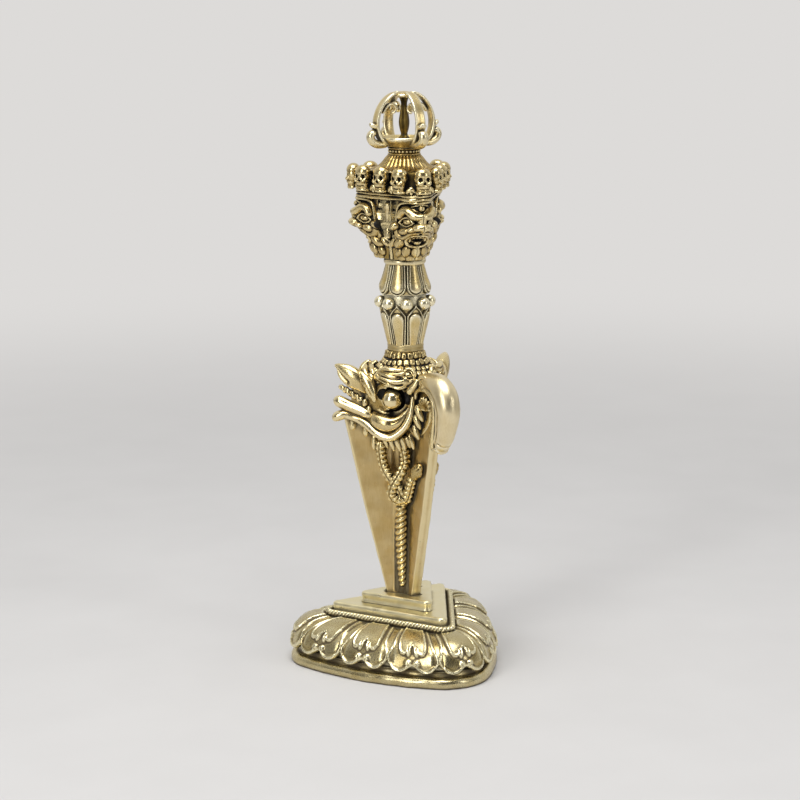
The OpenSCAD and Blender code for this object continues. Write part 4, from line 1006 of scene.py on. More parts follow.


# Trunk: thick and smooth, it arches forward off the brow and its tip curls back to the vane.
# Filed along its length, and paler than the rest partly as painted highlight, so it is the brightest form of
# the head.
# Brushed cast brass: a silky band of light along the trunk, partly painted highlight and painted sheen in its
# colour
trunk_finish_painted_highlight = aged_brass("brushed_cast_brass", "#F7EAC6", "#CFB67C", "#2A200E", gloss=0.34, patina=0.8,
                          brushed=(6.0, 6.0, 0.3), wear=0.9, painted_sheen_share=0.4)
trunk_line = [[0, -7.6, 60.5, 1.9], [0, -10.8, 61.1, 2.3], [0, -13.8, 60.9, 2.45], [0, -16.0, 59.4, 2.5],
              [0, -17.1, 57.0, 2.42], [0, -16.9, 54.5, 2.25], [0, -16.2, 51.9, 2.0], [0, -15.3, 50.0, 1.75],
              [0, -14.4, 48.8, 1.55], [0, -13.6, 48.3, 1.2]]


def trunk_skin(along, a, r):
    """A rim along both inner edges of the trunk, with a groove beside it, and a flatter inside."""
    turn = np.degrees(a)
    rim = bell(np.minimum(abs(turn - 212), abs(turn - 328)), 9) * 0.3
    groove = bell(np.minimum(abs(turn - 195), abs(turn - 345)), 6) * 0.22
    return rim - groove - 0.35 * bell(turn - 270, 35)


trunk_parts = [rounded_tube(trunk_line, 64, 10, up=(1, 0, 0), wide=1.04, skin=trunk_skin),
               # Lip of the tip, and the ball it curls round
               rounded_tube([[-1.5, -14.6, 48.7, 0.4], [-0.9, -14.8, 47.9, 0.55], [0, -14.9, 47.7, 0.6],
                             [0.9, -14.8, 47.9, 0.55], [1.5, -14.6, 48.7, 0.4]], 14, 8),
               ball((0, -12.5, 48.3), (1.15, 1.1, 1.05), 20, 28)]
trunk = fused("makara_nose_trunk", trunk_parts, 0.15, 2)
chased(trunk, [[[[-1.9, -15.4, 49.7], [-1.2, -16.4, 49.0], [0, -16.7, 48.8], [1.2, -16.4, 49.0],
                 [1.9, -15.4, 49.7]], 0.2, -0.25]])
finished(trunk, "phurba", "brushed_brass", trunk_finish_painted_highlight, "makara_trunk", uneven=0.04, reach=0.6)


# Ears: a hollow leaf with its tip turned up, and a smaller pointed lobe before it.
# Cast with the head, the hollow is chased out and left dark.
ear_parts = [
    rounded_tube([[-13.5, 6.2, 63.7, 0.35], [-12.6, 5.1, 62.8, 1.35], [-11.4, 3.9, 61.8, 2.0],
                  [-10.3, 2.5, 60.7, 2.0], [-9.4, 1.0, 59.3, 1.2], [-8.8, 0.0, 58.2, 0.4]], 26, 9,
                 up=flank, wide=0.8, thick=1.1),
    rounded_tube([[-10.0, 2.2, 62.7, 0.3], [-9.6, 1.1, 61.6, 1.0], [-9.0, -0.1, 60.0, 1.25],
                  [-8.6, -1.1, 58.3, 0.95], [-8.2, -1.7, 56.4, 0.3]], 20, 9, up=flank, wide=0.8, thick=1.05),
    rounded_tube([[-11.6, 4.2, 60.4, 0.4], [-11.0, 3.2, 59.6, 0.62], [-10.3, 2.1, 59.5, 0.45]], 14, 7)]
ears = fused("makara_ear_pair", mirrored(ear_parts), 0.13, 2)
ear_cuts = [[[[-13.5, 5.7, 62.7], [-13.4, 4.7, 61.8], [-12.5, 3.3, 60.3]], 0.75, -1.1],
            [[[-10.6, 1.9, 62.3], [-10.0, 0.9, 61.0], [-9.7, -0.2, 59.4]], 0.24, -0.35],
            [[[-10.2, 0.5, 61.4], [-9.7, -0.7, 59.8], [-9.2, -1.7, 58.0]], 0.2, -0.14]]
chased(ears, both_sides(ear_cuts))
finished(ears, "phurba", "antiqued_brass", makara_finish, "makara_ears", uneven=0.02, reach=0.6)


# Lips: a thick upper lip that rolls up at its end, and a narrow strip that runs under the pouch.
# They stand out furthest, so handling has rubbed them bright.
lip_parts = [
    rounded_tube([[-13.5, 6.2, 56.5, 0.9], [-12.9, 5.0, 56.1, 1.3], [-11.6, 3.3, 55.3, 1.25],
                  [-10.3, 1.5, 54.6, 1.12], [-9.2, -0.2, 53.9, 0.9], [-8.7, -1.0, 53.2, 0.45]], 24, 9,
                 up=flank, wide=0.95, thick=1.0),
    rounded_tube([[-13.2, 5.6, 52.1, 0.85], [-13.5, 5.2, 52.8, 1.15],
                  [-12.8, 4.5, 53.3, 1.12], [-11.9, 3.7, 53.4, 0.98], [-10.4, 2.1, 52.8, 0.9],
                  [-9.2, -0.2, 51.6, 0.9], [-8.2, -2.5, 50.1, 0.92], [-6.4, -4.8, 49.5, 0.92],
                  [-4.4, -6.4, 51.3, 0.88], [-3.2, -7.1, 53.6, 0.8], [-2.7, -7.3, 56.0, 0.68],
                  [-2.5, -7.3, 58.2, 0.4]], 24, 9, up=flank, wide=1.1, thick=0.95)]
lips = fused("makara_lip_strips", mirrored(lip_parts), 0.13, 2)
finished(lips, "phurba", "antiqued_brass", eye_finish, "makara_lips", uneven=0.02, reach=0.6)


# Teeth: three drops that hang from the lip over each side vane, cast with it.
# [x, y, height of the root, length]
tooth_parts = [rounded_tube([[x, y, z + 0.5, 0.5], [x, y, z - 0.3, 0.62], [x, y, z - long * 0.6, 0.72],
                             [x, y, z - long, 0.45]], 18, 7, up=(1, 0, 0))
               for x, y, z, long in [(-10.4, 3.9, 52.0, 2.1), (-8.1, 2.5, 50.8, 2.3), (-6.6, 1.6, 48.6, 3.0)]]
teeth = fused("makara_tooth_drops", mirrored(tooth_parts), 0.12, 1)
finished(teeth, "phurba", "antiqued_brass", makara_finish, "makara_teeth", uneven=0.02, reach=0.5)


# Neck: irregular scales chased in rows like bricks, that spread from the ring over the brow.
# Cast with the head, with the patina left between the scales.
head_turn = math.radians(-10)
# [radius, height] down the neck
neck_line = smooth_line([[3.95, 66.6], [4.0, 66.0], [4.35, 65.0], [5.0, 64.1], [5.9, 63.4], [7.0, 62.8],
                         [7.9, 62.1]], 12)
neck_columns = 640


def turned_form(name, line, height, columns, ends=()):
    """Round skin: [radius, height] rows with a height over them, from the outside of its top row."""
    line = np.asarray(line, float)
    run = np.concatenate([[0], np.cumsum(np.linalg.norm(np.diff(line, axis=0), axis=1))])
    way = np.gradient(line, run, axis=0)
    way /= np.linalg.norm(way, axis=1)[:, None]
    a = 2 * math.pi * np.arange(columns)[None, :] / columns
    h = height(a, run[:, None]) if height else 0 * a + 0 * run[:, None]
    r = line[:, :1] - way[:, 1:] * h
    z = line[:, 1:] + way[:, :1] * h
    rows = [np.stack([r * np.cos(a), r * np.sin(a), z], -1)]
    for radius, z_end in ends:
        rows.append(np.stack([radius * np.cos(a), radius * np.sin(a), z_end + 0 * a], -1))
    points = np.concatenate(rows)[::-1]
    return mesh_object(name, points.reshape(-1, 3), capped(len(points), columns))


def neck_radius(y):
    """Radius of the neck at a distance down from the ring."""
    return np.interp(y, [0, 1.6, 4.2, 7.0], [4.0, 4.5, 6.0, 8.0])


def neck_scales(a, y):
    """Height of the scales over the neck, in rows that go round it."""
    row_h, scale_w = 1.5, 1.15
    row = np.floor(y / row_h)
    v = y / row_h - row
    radius = neck_radius(y)
    count = np.round(2 * math.pi * neck_radius(row * row_h) / scale_w)
    shift = 0.5 * (row % 2) + 0.13 * np.sin(5 * row) + 0.1 * np.sin(a * 5 + row)
    u = a / (2 * math.pi) * count + shift
    cell = np.floor(u)
    u = u - cell
    # A share from 0 to 1 that differs from scale to scale
    odd = np.sin(cell * 12.9 + row * 78.2) * 43758.5
    odd = odd - np.floor(odd)
    across = (u - 0.5) * 2 * math.pi * radius / count / (scale_w * (0.42 + 0.14 * odd))
    rise = (v - 0.5 + 0.26 * (odd - 0.5)) / (0.42 + 0.12 * odd)
    # Four-cornered scales with worn corners and a flat top
    from_middle = (abs(across) ** 3 + abs(rise) ** 3) ** (1 / 3)
    return np.interp(from_middle, [0, 0.6, 0.84, 0.98, 1.12], [0.25, 0.22, 0.12, -0.12, -0.22])


neck = turned_form("neck_scales", neck_line, neck_scales, neck_columns, [(6.0, 61.6), (3.5, 61.6)])
finished(neck, "phurba", "antiqued_brass", serpent_finish, "scaled_neck", uneven=0.03, reach=0.35)


# Filed ring: a plain ring where the neck was cut and joined, filed by hand and left matt.
# It carries no ornament, and the file's marks run round it.
# Filed brass: matt, with fine lines round it that spread the light sideways, and painted sheen along them
ring_finish = aged_brass("filed_brass", "#DCCB9A", "#B29A62", "#40321A", gloss=0.42, patina=0.5,
                         brushed=(0.5, 0.5, 3.0), wear=0.6)
ring_low, ring_high = corners_of("filed_ring")
ring_line = smooth_line([[3.2, ring_high.z], [3.55, ring_high.z - 0.03], [3.75, ring_high.z - 0.25],
                         [3.72, ring_low.z + 0.7], [3.76, ring_low.z + 0.25], [3.55, ring_low.z + 0.02],
                         [3.2, ring_low.z]], 6)
ring = turned_form("filed_joint_ring", ring_line, None, 180)
finished(ring, "phurba", "brushed_brass", ring_finish, "filed_ring", uneven=0.07, reach=0.6)


# Grip: two rows of petals that spread towards a ring of beads, each a raised tongue in a rolled rim.
# One casting, rubbed bright on its tongues and beads, and black in the lines between them.
# Rubbed cast brass, held longest in the hand, with its colour lifted further as painted highlight: nearly
# white gold on the tongues and beads
grip_finish_painted_highlight = aged_brass("rubbed_cast_brass_grip", "#FBF0CC", "#D3BA7A", "#1B140B", gloss=0.3, patina=0.9)
grip_petals = 8
grip_turn = math.radians(-4)
# [distance in from a petal's outline, height]: rolled rim, dark line, raised tongue
petal_cut = [[-0.4, -0.55], [0, -0.5], [0.08, -0.1], [0.18, 0.12], [0.3, 0.14], [0.38, 0.02], [0.43, -0.26],
             [0.5, -0.28], [0.57, 0.02], [0.7, 0.26], [1.1, 0.34], [1.6, 0.37], [2.4, 0.38]]


def grip_row(line, long, pointed):
    """Height over a tapering barrel of eight petals that hang from its narrow end."""
    def height(a, y):
        radius = np.interp(y, np.linspace(0, long, len(line)), np.asarray(line)[:, 0])
        share = ((a - grip_turn) / (2 * math.pi) * grip_petals + 0.5) % 1 - 0.5
        half = math.pi * radius / grip_petals
        x = abs(share) * 2 * half
        end = long - half
        round_end = np.where(y > end, half - np.hypot(x, y - end), half - x)
        inside = round_end - 0.06
        if pointed:
            # The rims sweep together to a tip between two beads, and the tongue stops short of it
            tip = np.interp(y, [0, long - 2.6, long - 1.5, long - 0.7, long], [1, 1, 0.62, 0.22, 0.02])
            rim = half * tip - x - 0.04
            tongue_half = half - 0.58
            stop = long - 2.1 - tongue_half
            tongue = np.where(y > stop, tongue_half - np.hypot(x, y - stop), tongue_half - x)
            inside = np.where(tongue > -0.08, 0.58 + np.maximum(tongue, -0.08), np.minimum(rim, 0.44))
        return np.interp(inside, *zip(*petal_cut))
    return height


lower_low, lower_high = corners_of("lower_grip")
petals_low, petals_high = corners_of("upper_grip")
upper_line = smooth_line([[3.75, petals_high.z], [3.95, petals_high.z - 0.8], [4.55, petals_high.z - 3],
                          [5.05, petals_low.z + 1.6], [5.2, petals_low.z + 0.6],
                          [5.05, petals_low.z - 0.35]], 16)
length = float(np.linalg.norm(np.diff(upper_line, axis=0), axis=1).sum())
upper = turned_form("upper_tongue_petals", upper_line, grip_row(upper_line, length, False), 720,
                    [(4.4, petals_low.z - 0.2), (3.0, petals_low.z)])
finished(upper, "phurba", "brushed_brass", grip_finish_painted_highlight, "upper_grip", uneven=0.02, reach=0.4)

lower_line = smooth_line([[3.5, lower_low.z], [3.7, lower_low.z + 0.8], [4.25, lower_low.z + 3.2],
                          [4.85, lower_low.z + 5.8], [5.15, lower_high.z - 0.3], [5.2, lower_high.z + 0.6],
                          [5.0, lower_high.z + 1.35]], 16)
length = float(np.linalg.norm(np.diff(lower_line, axis=0), axis=1).sum())
lower_line[:, 1] = -lower_line[:, 1]
lower = turned_form("lower_tongue_petals", lower_line, grip_row(lower_line, length, True), 720,
                    [(4.3, -lower_high.z - 1.0), (3.0, -lower_high.z)])
lower_points = points_of(lower) * [1, 1, -1]
set_points(lower, lower_points)
lower.data.flip_normals()
finished(lower, "phurba", "brushed_brass", grip_finish_painted_highlight, "lower_grip", uneven=0.02, reach=0.4)

bead_low, bead_high = corners_of("bead_ring")
waist_line = smooth_line([[3.5, bead_high.z], [4.3, bead_high.z - 0.2], [4.45, bead_high.z - 1.6],
                          [4.3, bead_low.z + 0.2], [3.5, bead_low.z]], 6)
waist = turned_form("waist", waist_line, None, 120)
bead_reach, bead_z, bead_radii = 5.05, 76.75, (1.3, 1.3, 1.27)
beads = []
for k in range(grip_petals):
    a = grip_turn + 2 * math.pi * (k + 0.5) / grip_petals
    beads.append(ball((bead_reach * math.cos(a), bead_reach * math.sin(a), bead_z), bead_radii, 26, 40))
beading = joined("grip_beads", [taken(waist)] + beads)
finished(beading, "phurba", "antiqued_brass", grip_finish_painted_highlight, "bead_ring", uneven=0.02, reach=0.7)

chin_low, chin_high = corners_of("chin_ring")
chin_line = smooth_line([[3.2, chin_high.z], [3.9, chin_high.z - 0.03], [4.26, chin_high.z - 0.28],
                         [4.35, chin_high.z - 0.6], [4.25, chin_low.z + 0.28], [3.9, chin_low.z + 0.04],
                         [3.4, chin_low.z]], 8)
chin = turned_form("rolled_collar", chin_line, None, 200)
finished(chin, "phurba", "antiqued_brass", grip_finish_painted_highlight, "chin_ring", uneven=0.05, reach=0.5)


# Heads: three wrathful faces, one over each vane, cast round a core and chased while the blade was held.
# Each is a relief over a rounded corner, measured round the corner from the nose, and up from the table.
# Rubbed cast brass, blackened deep: each feature is a bright ridge on a dark ground
face_finish = aged_brass("rubbed_cast_brass_faces", "#F0DDA8", "#A88B4B", "#130F09", gloss=0.25)
heads_low, heads_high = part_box("head_core")[0].z / MM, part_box("head_core")[1].z / MM
heads_h = heads_high - heads_low
# [share of the height, reach of the face, reach of the seam between two faces]
head_plan = smooth_line([[0, 5.9, 4.5], [0.12, 6.3, 4.65], [0.24, 6.9, 4.8], [0.36, 7.9, 5.1],
                         [0.5, 9.0, 5.5], [0.62, 9.5, 5.7], [0.8, 9.9, 5.8], [0.93, 9.8, 5.8],
                         [1, 9.7, 5.75]], 6)


def dome(x, y, centre, size, height):
    d = ((x - centre[0]) / size[0]) ** 2 + ((y - centre[1]) / size[1]) ** 2
    return height * np.sqrt(np.clip(1 - d, 0, 1))


def welt(x, y, points, width, height):
    """Round ridge along a line."""
    return height * np.sqrt(np.clip(1 - (near_line(x, y, points) / width) ** 2, 0, 1))


def pit(x, y, centre, size, depth):
    d = ((x - centre[0]) / size[0]) ** 2 + ((y - centre[1]) / size[1]) ** 2
    return depth * np.exp(-d * d)


def face_relief(x, y):
    """Height of a face over its corner. x is across from the nose, y is the height from the table."""
    side = np.abs(x)
    # Beside the hairline the ground drops to a dark recess, in which the bone rod stands
    h = -0.25 - 1.0 * step_up(side - 6.25, 0.45) * step_up(y - 90.6, 0.6)
    h -= pit(side, y, (3.0, 94.2), (2.1, 1.25), 0.75)
    h -= pit(side, y, (1.15, 94.6), (0.5, 0.9), 0.35)
    h -= pit(side, y, (2.6, 97.1), (1.7, 0.45), 0.2)
    forms = [
        # Frame of the hairline, two rolled bands
        welt(side, y, [[5.75, 92.9], [5.85, 95.2], [5.6, 96.8], [4.6, 97.75], [2.8, 98.05], [0, 98.1]],
             0.36, 0.75),
        welt(side, y, [[5.0, 93.6], [5.1, 95.3], [4.9, 96.6], [4.2, 97.25]], 0.3, 0.5),
        # Brow, thick and waved, with a fold over it
        welt(side, y, [[0, 95.25], [0.8, 95.3], [1.7, 95.75], [2.6, 96.35], [3.5, 96.45], [4.3, 96.0],
                       [4.7, 95.4]], 0.95, 1.7),
        welt(side, y, [[1.0, 96.1], [1.9, 96.75], [3.0, 97.3], [4.0, 97.2]], 0.3, 0.55),
        # Third eye, upright between its lids
        dome(side, y, (0, 96.95), (0.62, 0.68), 1.0),
        welt(side, y, [[2.1, 97.2], [1.2, 97.5], [0.0, 97.75]], 0.2, 0.5),
        welt(side, y, [[2.1, 97.1], [1.1, 96.5], [0.5, 96.2]], 0.2, 0.5),
        # Eye, its pupil and its two lids
        dome(side, y, (2.95, 94.2), (1.3, 0.8), 1.0),
        dome(side, y, (2.75, 94.2), (0.5, 0.52), 1.15),
        welt(side, y, [[1.35, 94.0], [2.1, 94.85], [3.1, 95.1], [4.1, 94.7], [4.9, 93.9]], 0.32, 0.95),
        welt(side, y, [[1.4, 93.9], [2.1, 93.45], [3.0, 93.2], [4.0, 93.45], [4.9, 93.9]], 0.3, 0.85),
        # Nose with its wings, and the lines that run from it over the cheeks
        welt(side, y, [[0, 95.2], [0, 94.2], [0, 93.2]], 0.8, 1.6),
        dome(side, y, (0, 93.0), (1.5, 1.25), 2.6),
        dome(side, y, (1.55, 92.6), (0.95, 0.75), 1.8),
        welt(side, y, [[0.7, 91.95], [1.6, 91.75], [2.6, 90.95], [3.6, 90.75], [4.6, 91.25], [5.3, 92.0]],
             0.75, 1.15),
        dome(side, y, (3.3, 92.1), (1.75, 1.0), 1.35),
        dome(side, y, (5.95, 93.05), (1.25, 1.05), 1.8),
        welt(side, y, [[5.6, 92.0], [5.4, 91.2], [5.0, 90.5], [4.4, 90.2]], 0.5, 0.7),
        # Lips of the open mouth, its teeth and fangs, and the tongue
        welt(side, y, [[0, 91.3], [0.9, 91.25], [1.7, 90.95], [2.3, 90.3]], 0.36, 1.0),
        welt(side, y, [[2.35, 90.2], [1.9, 89.4], [1.0, 88.95], [0, 88.85]], 0.38, 0.95),
        dome(side, y, (0.35, 90.85), (0.33, 0.34), 0.55), dome(side, y, (1.0, 90.75), (0.32, 0.34), 0.5),
        dome(side, y, (1.62, 90.35), (0.3, 0.6), 0.7),
        dome(side, y, (0, 89.75), (0.85, 0.62), 0.75),
        # Curls of the beard: a large ball at each side and scalloped rows under the lip
        dome(side, y, (3.8, 89.6), (1.35, 1.35), 1.45), dome(side, y, (5.7, 89.5), (0.8, 1.0), 0.85),
        dome(side, y, (0, 87.75), (1.05, 1.35), 1.1), dome(side, y, (1.95, 87.85), (1.0, 1.3), 0.95),
        dome(side, y, (3.75, 87.6), (0.95, 1.05), 0.7), dome(side, y, (1.0, 86.5), (1.0, 0.85), 0.6),
        dome(side, y, (2.9, 86.5), (0.95, 0.8), 0.45),
    ]
    for form in forms:
        h = np.maximum(h, form + np.where(form > 0, -0.2, -9))
    h -= pit(side, y, (0.55, 92.3), (0.28, 0.24), 0.7)
    h -= pit(side, y, (0, 90.35), (1.35, 0.3), 0.55)
    h -= pit(side, y, (2.75, 94.2), (0.2, 0.2), 0.25) + pit(side, y, (0, 96.95), (0.18, 0.2), 0.2)
    return h


face_rows, face_columns = 210, 300
level = np.linspace(0, 1, face_rows)
reach = np.interp(level, head_plan[:, 0], head_plan[:, 1])
seam = np.interp(level, head_plan[:, 0], head_plan[:, 2])
spread = 2 * (reach - seam)
corner = reach - spread
third = 2 * corner * SIXTY + spread * 2 * math.sin(SIXTY)
# The beards meet under the bone rods, and over that each face keeps clear of its rod
seam_room = np.interp(heads_low + level * heads_h, [89.5, 90.3], [0.06, 1.1])
u = np.linspace(-0.5, 0.5, face_columns)[None, :]
across = u * (third - 2 * seam_room)[:, None]
share = np.where(across < 0, 1, 0) + across / third[:, None]
xy, way = three_corner(spread[:, None], corner[:, None], 0.001, share / 3)
height = face_relief(across, np.broadcast_to(heads_low + level[:, None] * heads_h, across.shape))
edge = np.minimum(across - across[:, :1], across[:, -1:] - across)
height *= step_up(edge + 0.02, 0.35)
xy = xy + height[..., None] * way
z = np.broadcast_to(heads_low + 0.02 + level[:, None] * (heads_h - 0.04), across.shape)
front_rows = np.dstack([xy, z])
# three_corner puts its first corner at -90 degrees, and its third from +30 to -30 goes once round
inner = []
for angle, radius in [(-23, 4.5), (-88, 3.0), (-157, 4.5)]:
    spot = [radius * math.cos(math.radians(angle)), radius * math.sin(math.radians(angle))]
    inner.append(np.dstack([np.full((face_rows, 1), spot[0]), np.full((face_rows, 1), spot[1]), z[:, :1]]))
shell = np.concatenate([front_rows] + inner, axis=1)
one_face = (shell.reshape(-1, 3), capped(face_rows, shell.shape[1]))
# Patina, and painted shade, are darkened into the recess beside each rod
recess_patina_and_shade = np.ones(shell.shape[:2])
recess_patina_and_shade[:, :face_columns] = step_up(abs(across) - 6.15, 0.3) * step_up(z - 90.4, 0.5)
for node_name, k in [("front_face", 0), ("right_face", 1), ("left_face", 2)]:
    # The face at the right lies a little deeper than the other two
    deep = np.array([0.94, 0.94, 1]) if node_name == "right_face" else 1
    part = turned([(one_face[0] * deep, one_face[1])], head_turn + 2 * SIXTY * k)
    made = mesh_object("wrathful_" + node_name, *part[0])
    finished(made, "phurba", "antiqued_brass", face_finish, node_name, uneven=0.02, reach=0.5)
    # The recess beside the rod gets patina and painted shade
    patina_and_shade_darkened(made, recess_patina_and_shade.ravel())


# Core: what shows of the casting between two faces, behind the bone rods.
# Its colour is painted shade, nearly black, so it is the darkest part of the heads.
# Blackened cast brass with painted shade: dull, and nearly as dark as the shadow between two faces
core_painted_shade_finish = aged_brass("blackened_cast_brass", "#4A3C1E", "#2A2110", "#0C0906", gloss=0.5)
core_columns = 60
a = 2 * math.pi * np.arange(core_columns) / core_columns
rows = [np.column_stack([r * np.cos(a), r * np.sin(a), np.full(core_columns, z)])
        for r, z in [(4.0, heads_low + 0.02), (4.1, heads_low + 0.5), (3.9, heads_low + 6),
                     (3.9, heads_high - 0.5), (3.8, heads_high - 0.02)]]
core = mesh_object("core_between_faces", np.vstack(rows), capped(len(rows), core_columns))
finished(core, "phurba", "antiqued_brass", core_painted_shade_finish, "head_core", uneven=0.05, reach=0.6)


# Bone rods: a small bone stands in each seam, with a knuckle on top and a bound foot.
# Cast with the heads and rubbed bright.
rod_reach = 5.25
# [height, radius] up a rod
rod_profile = [[90.35, 0.62], [90.6, 0.74], [91.5, 0.72], [91.75, 0.6], [91.9, 0.7], [92.1, 0.6],
               [92.4, 0.55], [94.5, 0.52], [96.2, 0.6], [96.8, 0.74], [97.25, 0.74], [97.6, 0.5],
               [97.72, 0.2]]
rod_parts = []
for k in range(3):
    a = first_vane + head_turn + SIXTY + 2 * SIXTY * k
    x, y = rod_reach * math.cos(a), rod_reach * math.sin(a)
    rod_line, rod_radii = [[x, y, z] for z, r in rod_profile], [r for z, r in rod_profile]
    rod_parts.append(sweep(rod_line, rod_radii, 22, up=(1, 0, 0)))
rods = fused("bone_rods_three", rod_parts, 0.1, 1)
finished(rods, "phurba", "antiqued_brass", eye_finish, "bone_rods", uneven=0.03, reach=0.5)


# Crown band: a three-cornered hoop of two rolled ridges over the hairlines of the faces.
# Cast with the heads, and rubbed bright on its ridges.
band_low = corners_of("crown_band")[0]
band_spread, band_round = 7.0, 3.1
band_count = 480
band_profile = smooth_line([[1.2, 0], [0.3, 0.02], [0.05, 0.2], [0.0, 0.4], [0.1, 0.6], [0.38, 0.72],
                            [0.12, 0.84], [0.0, 1.0], [0.05, 1.2], [0.3, 1.38], [0.36, 1.48], [0.6, 1.58],
                            [1.3, 1.6]], 4)
rows = cornered_rows(band_profile + [0, band_low.z], band_spread, band_round, 0, band_count)
band_shell = (np.vstack(rows), capped(len(rows), band_count))
band = mesh_object("ridged_crown_band", *turned([band_shell], head_turn)[0])
finished(band, "phurba", "antiqued_brass", face_finish, "crown_band", uneven=0.09, reach=0.5)


# Cup: the dark wall of the crown behind the skulls, with leaves at its foot between them.
# Cast with the band and never polished, so that the skulls stand out.
# Blackened cast brass, a little handled: brown, with a dull sheen
cup_finish = aged_brass("blackened_cast_brass_cup", "#6E5C30", "#2A2110", "#0C0906", gloss=0.42)
cup_low, cup_high = corners_of("crown_cup")
crown_spread, crown_round = 6.5, 3.2
cup_count = 360
skull_pitch = 4.8
cup_profile = [[0.7, 0.0], [0.3, 0.05], [0.2, 0.3], [0.5, 0.8], [0.55, 2.2], [0.45, 3.6], [0.5, 4.1],
               [0.7, cup_high.z - cup_low.z], [2.0, cup_high.z - cup_low.z]]
rows = cornered_rows(smooth_line(cup_profile, 4) + [0, cup_low.z], crown_spread, crown_round, 0, cup_count)
cup_parts = [(np.vstack(rows), capped(len(rows), cup_count))]
# [angle, distance, place along a side] of the skulls: one on each corner and three on each side
places = []
for k in range(3):
    a = first_vane + 2 * SIXTY * k
    places.append((a, crown_spread + crown_round, 0.0))
    places += [(a + SIXTY, crown_spread / 2 + crown_round, i * skull_pitch) for i in (-1, 0, 1)]


def stood(parts, a, out, along):
    """Parts modelled on +X, set out at a distance and along a side that faces an angle."""
    return turned([(p + np.array([out, along, 0]), f) for p, f in parts], a)


leaf = [rounded_tube([[0.3, -0.95, 100.0, 0.3], [0.6, -0.6, 100.5, 0.42], [0.7, 0, 100.85, 0.5],
                      [0.6, 0.6, 100.5, 0.42], [0.3, 0.95, 100.0, 0.3]], 14, 6),
        rounded_tube([[0.5, 0, 99.75, 0.35], [0.75, 0, 100.15, 0.3], [0.7, 0, 100.5, 0.2]], 12, 5,
                     up=(0, 1, 0))]
leaf_inset, corner_leaf_turn, corner_leaf_reach = 0.2, math.radians(12), 8.9
leaf_parts = []
for k in range(3):
    a = first_vane + 2 * SIXTY * k
    for along in (skull_pitch / 2, -skull_pitch / 2):
        leaf_parts += stood(leaf, a + SIXTY, crown_spread / 2 + crown_round - leaf_inset, along)
    for s in (-1, 1):
        leaf_parts += stood(leaf, a + s * corner_leaf_turn, corner_leaf_reach, 0)
cup = fused("crown_wall", turned(cup_parts, head_turn), 0.14, 1)
finished(cup, "phurba", "antiqued_brass", cup_finish, "crown_cup", uneven=0.04, reach=0.6)
leaves = joined("crown_leaves", turned(leaf_parts, head_turn))
finished(leaves, "phurba", "antiqued_brass", face_finish, uneven=0.02, reach=0.5)


# Skulls: twelve dry skulls, each a round brain case over cheekbones and a jaw.
# Cast with the cup from one pattern, their eyes, noses and teeth punched and then rubbed bright.
skull_forms = [ball((0.9, 0, 103.75), (1.45, 1.7, 1.45), 18, 24),
               ball((0.9, 0, 103.0), (1.42, 1.8, 1.5), 18, 24),
               ball((1.1, 0, 102.3), (1.3, 1.6, 1.1), 16, 22),
               ball((1.2, 0, 101.5), (1.15, 1.4, 1.1), 16, 22),
               ball((1.1, 0, 100.8), (1.05, 1.25, 0.8), 12, 20),
               rounded_tube([[1.0, -1.2, 102.6, 0.3], [1.9, -1.2, 102.25, 0.34],
                             [2.3, -0.6, 101.9, 0.3]], 12, 5),
               rounded_tube([[1.0, 1.2, 102.6, 0.3], [1.9, 1.2, 102.25, 0.34],
                             [2.3, 0.6, 101.9, 0.3]], 12, 5),
               rounded_tube([[0.6, -1.25, 100.2, 0.28], [1.5, -0.95, 100.22, 0.3], [1.85, 0, 100.25, 0.32],
                             [1.5, 0.95, 100.22, 0.3], [0.6, 1.25, 100.2, 0.28]], 12, 6)]
skull = fused("one_skull", skull_forms, 0.09, 2)
p = points_of(skull)
out = normals_of(skull)
# Eyes, nostrils and the bridge of the nose, then the gaps of the teeth and the line of the mouth
for spot, size, depth in [((2.4, 0.8, 102.95), 0.4, 0.75), ((2.4, -0.8, 102.95), 0.4, 0.75),
                          ((2.4, 0.13, 102.1), 0.22, 0.5), ((2.4, -0.13, 102.1), 0.22, 0.5),
                          ((2.4, 0, 102.4), 0.18, 0.45)]:
    d = np.linalg.norm((p - spot) * [0.4, 1, 1], axis=1) / size
    p[:, 0] -= depth * np.exp(-d ** 4) * (out[:, 0] > 0)
for y in np.arange(-0.72, 0.8, 0.24):
    d = np.hypot((p[:, 1] - y) / 0.07, (p[:, 2] - 101.3) / 0.22)
    p[:, 0] -= 0.1 * np.exp(-d * d) * (out[:, 0] > 0.2)
mouth = np.exp(-((p[:, 2] - 101.0 - 0.08 * p[:, 1] ** 2) / 0.1) ** 2)
p[:, 0] -= 0.2 * mouth * (out[:, 0] > 0.2) * (abs(p[:, 1]) < 1)
skull_shell = (p, taken(skull)[1])
skull_parts = []
for a, out_by, along in places:
    skull_parts += stood([skull_shell], a + head_turn, out_by, along)
skulls = joined("dry_skulls", skull_parts)
finished(skulls, "phurba", "antiqued_brass", face_finish, "skulls", uneven=0.03, reach=0.5)


# Hair: drawn up out of the crown into a low cone of fine strands.
# Cast with the cup, its strands cut with a graver.
hair_low, hair_high = corners_of("hair_cone")
strands = 30


def fluted(a, y):
    """Strands of hair that run down the cone, with a narrow line between two."""
    return 0.2 * np.abs(np.cos(a * strands / 2)) ** 0.7 - 0.14


hair_line = smooth_line([[3.3, hair_high.z], [3.5, hair_high.z - 0.25], [3.95, hair_high.z - 0.7],
                         [4.4, hair_high.z - 1.3], [5.1, hair_high.z - 2.0], [5.9, hair_low.z + 0.35],
                         [6.7, hair_low.z + 0.1], [7.4, hair_low.z - 0.05]], 8)
hair = turned_form("drawn_up_hair", hair_line, fluted, 720,
                   [(7.3, hair_low.z - 0.3), (3.0, hair_low.z - 0.3)])
finished(hair, "phurba", "antiqued_brass", face_finish, "hair_cone", uneven=0.02, reach=0.3)


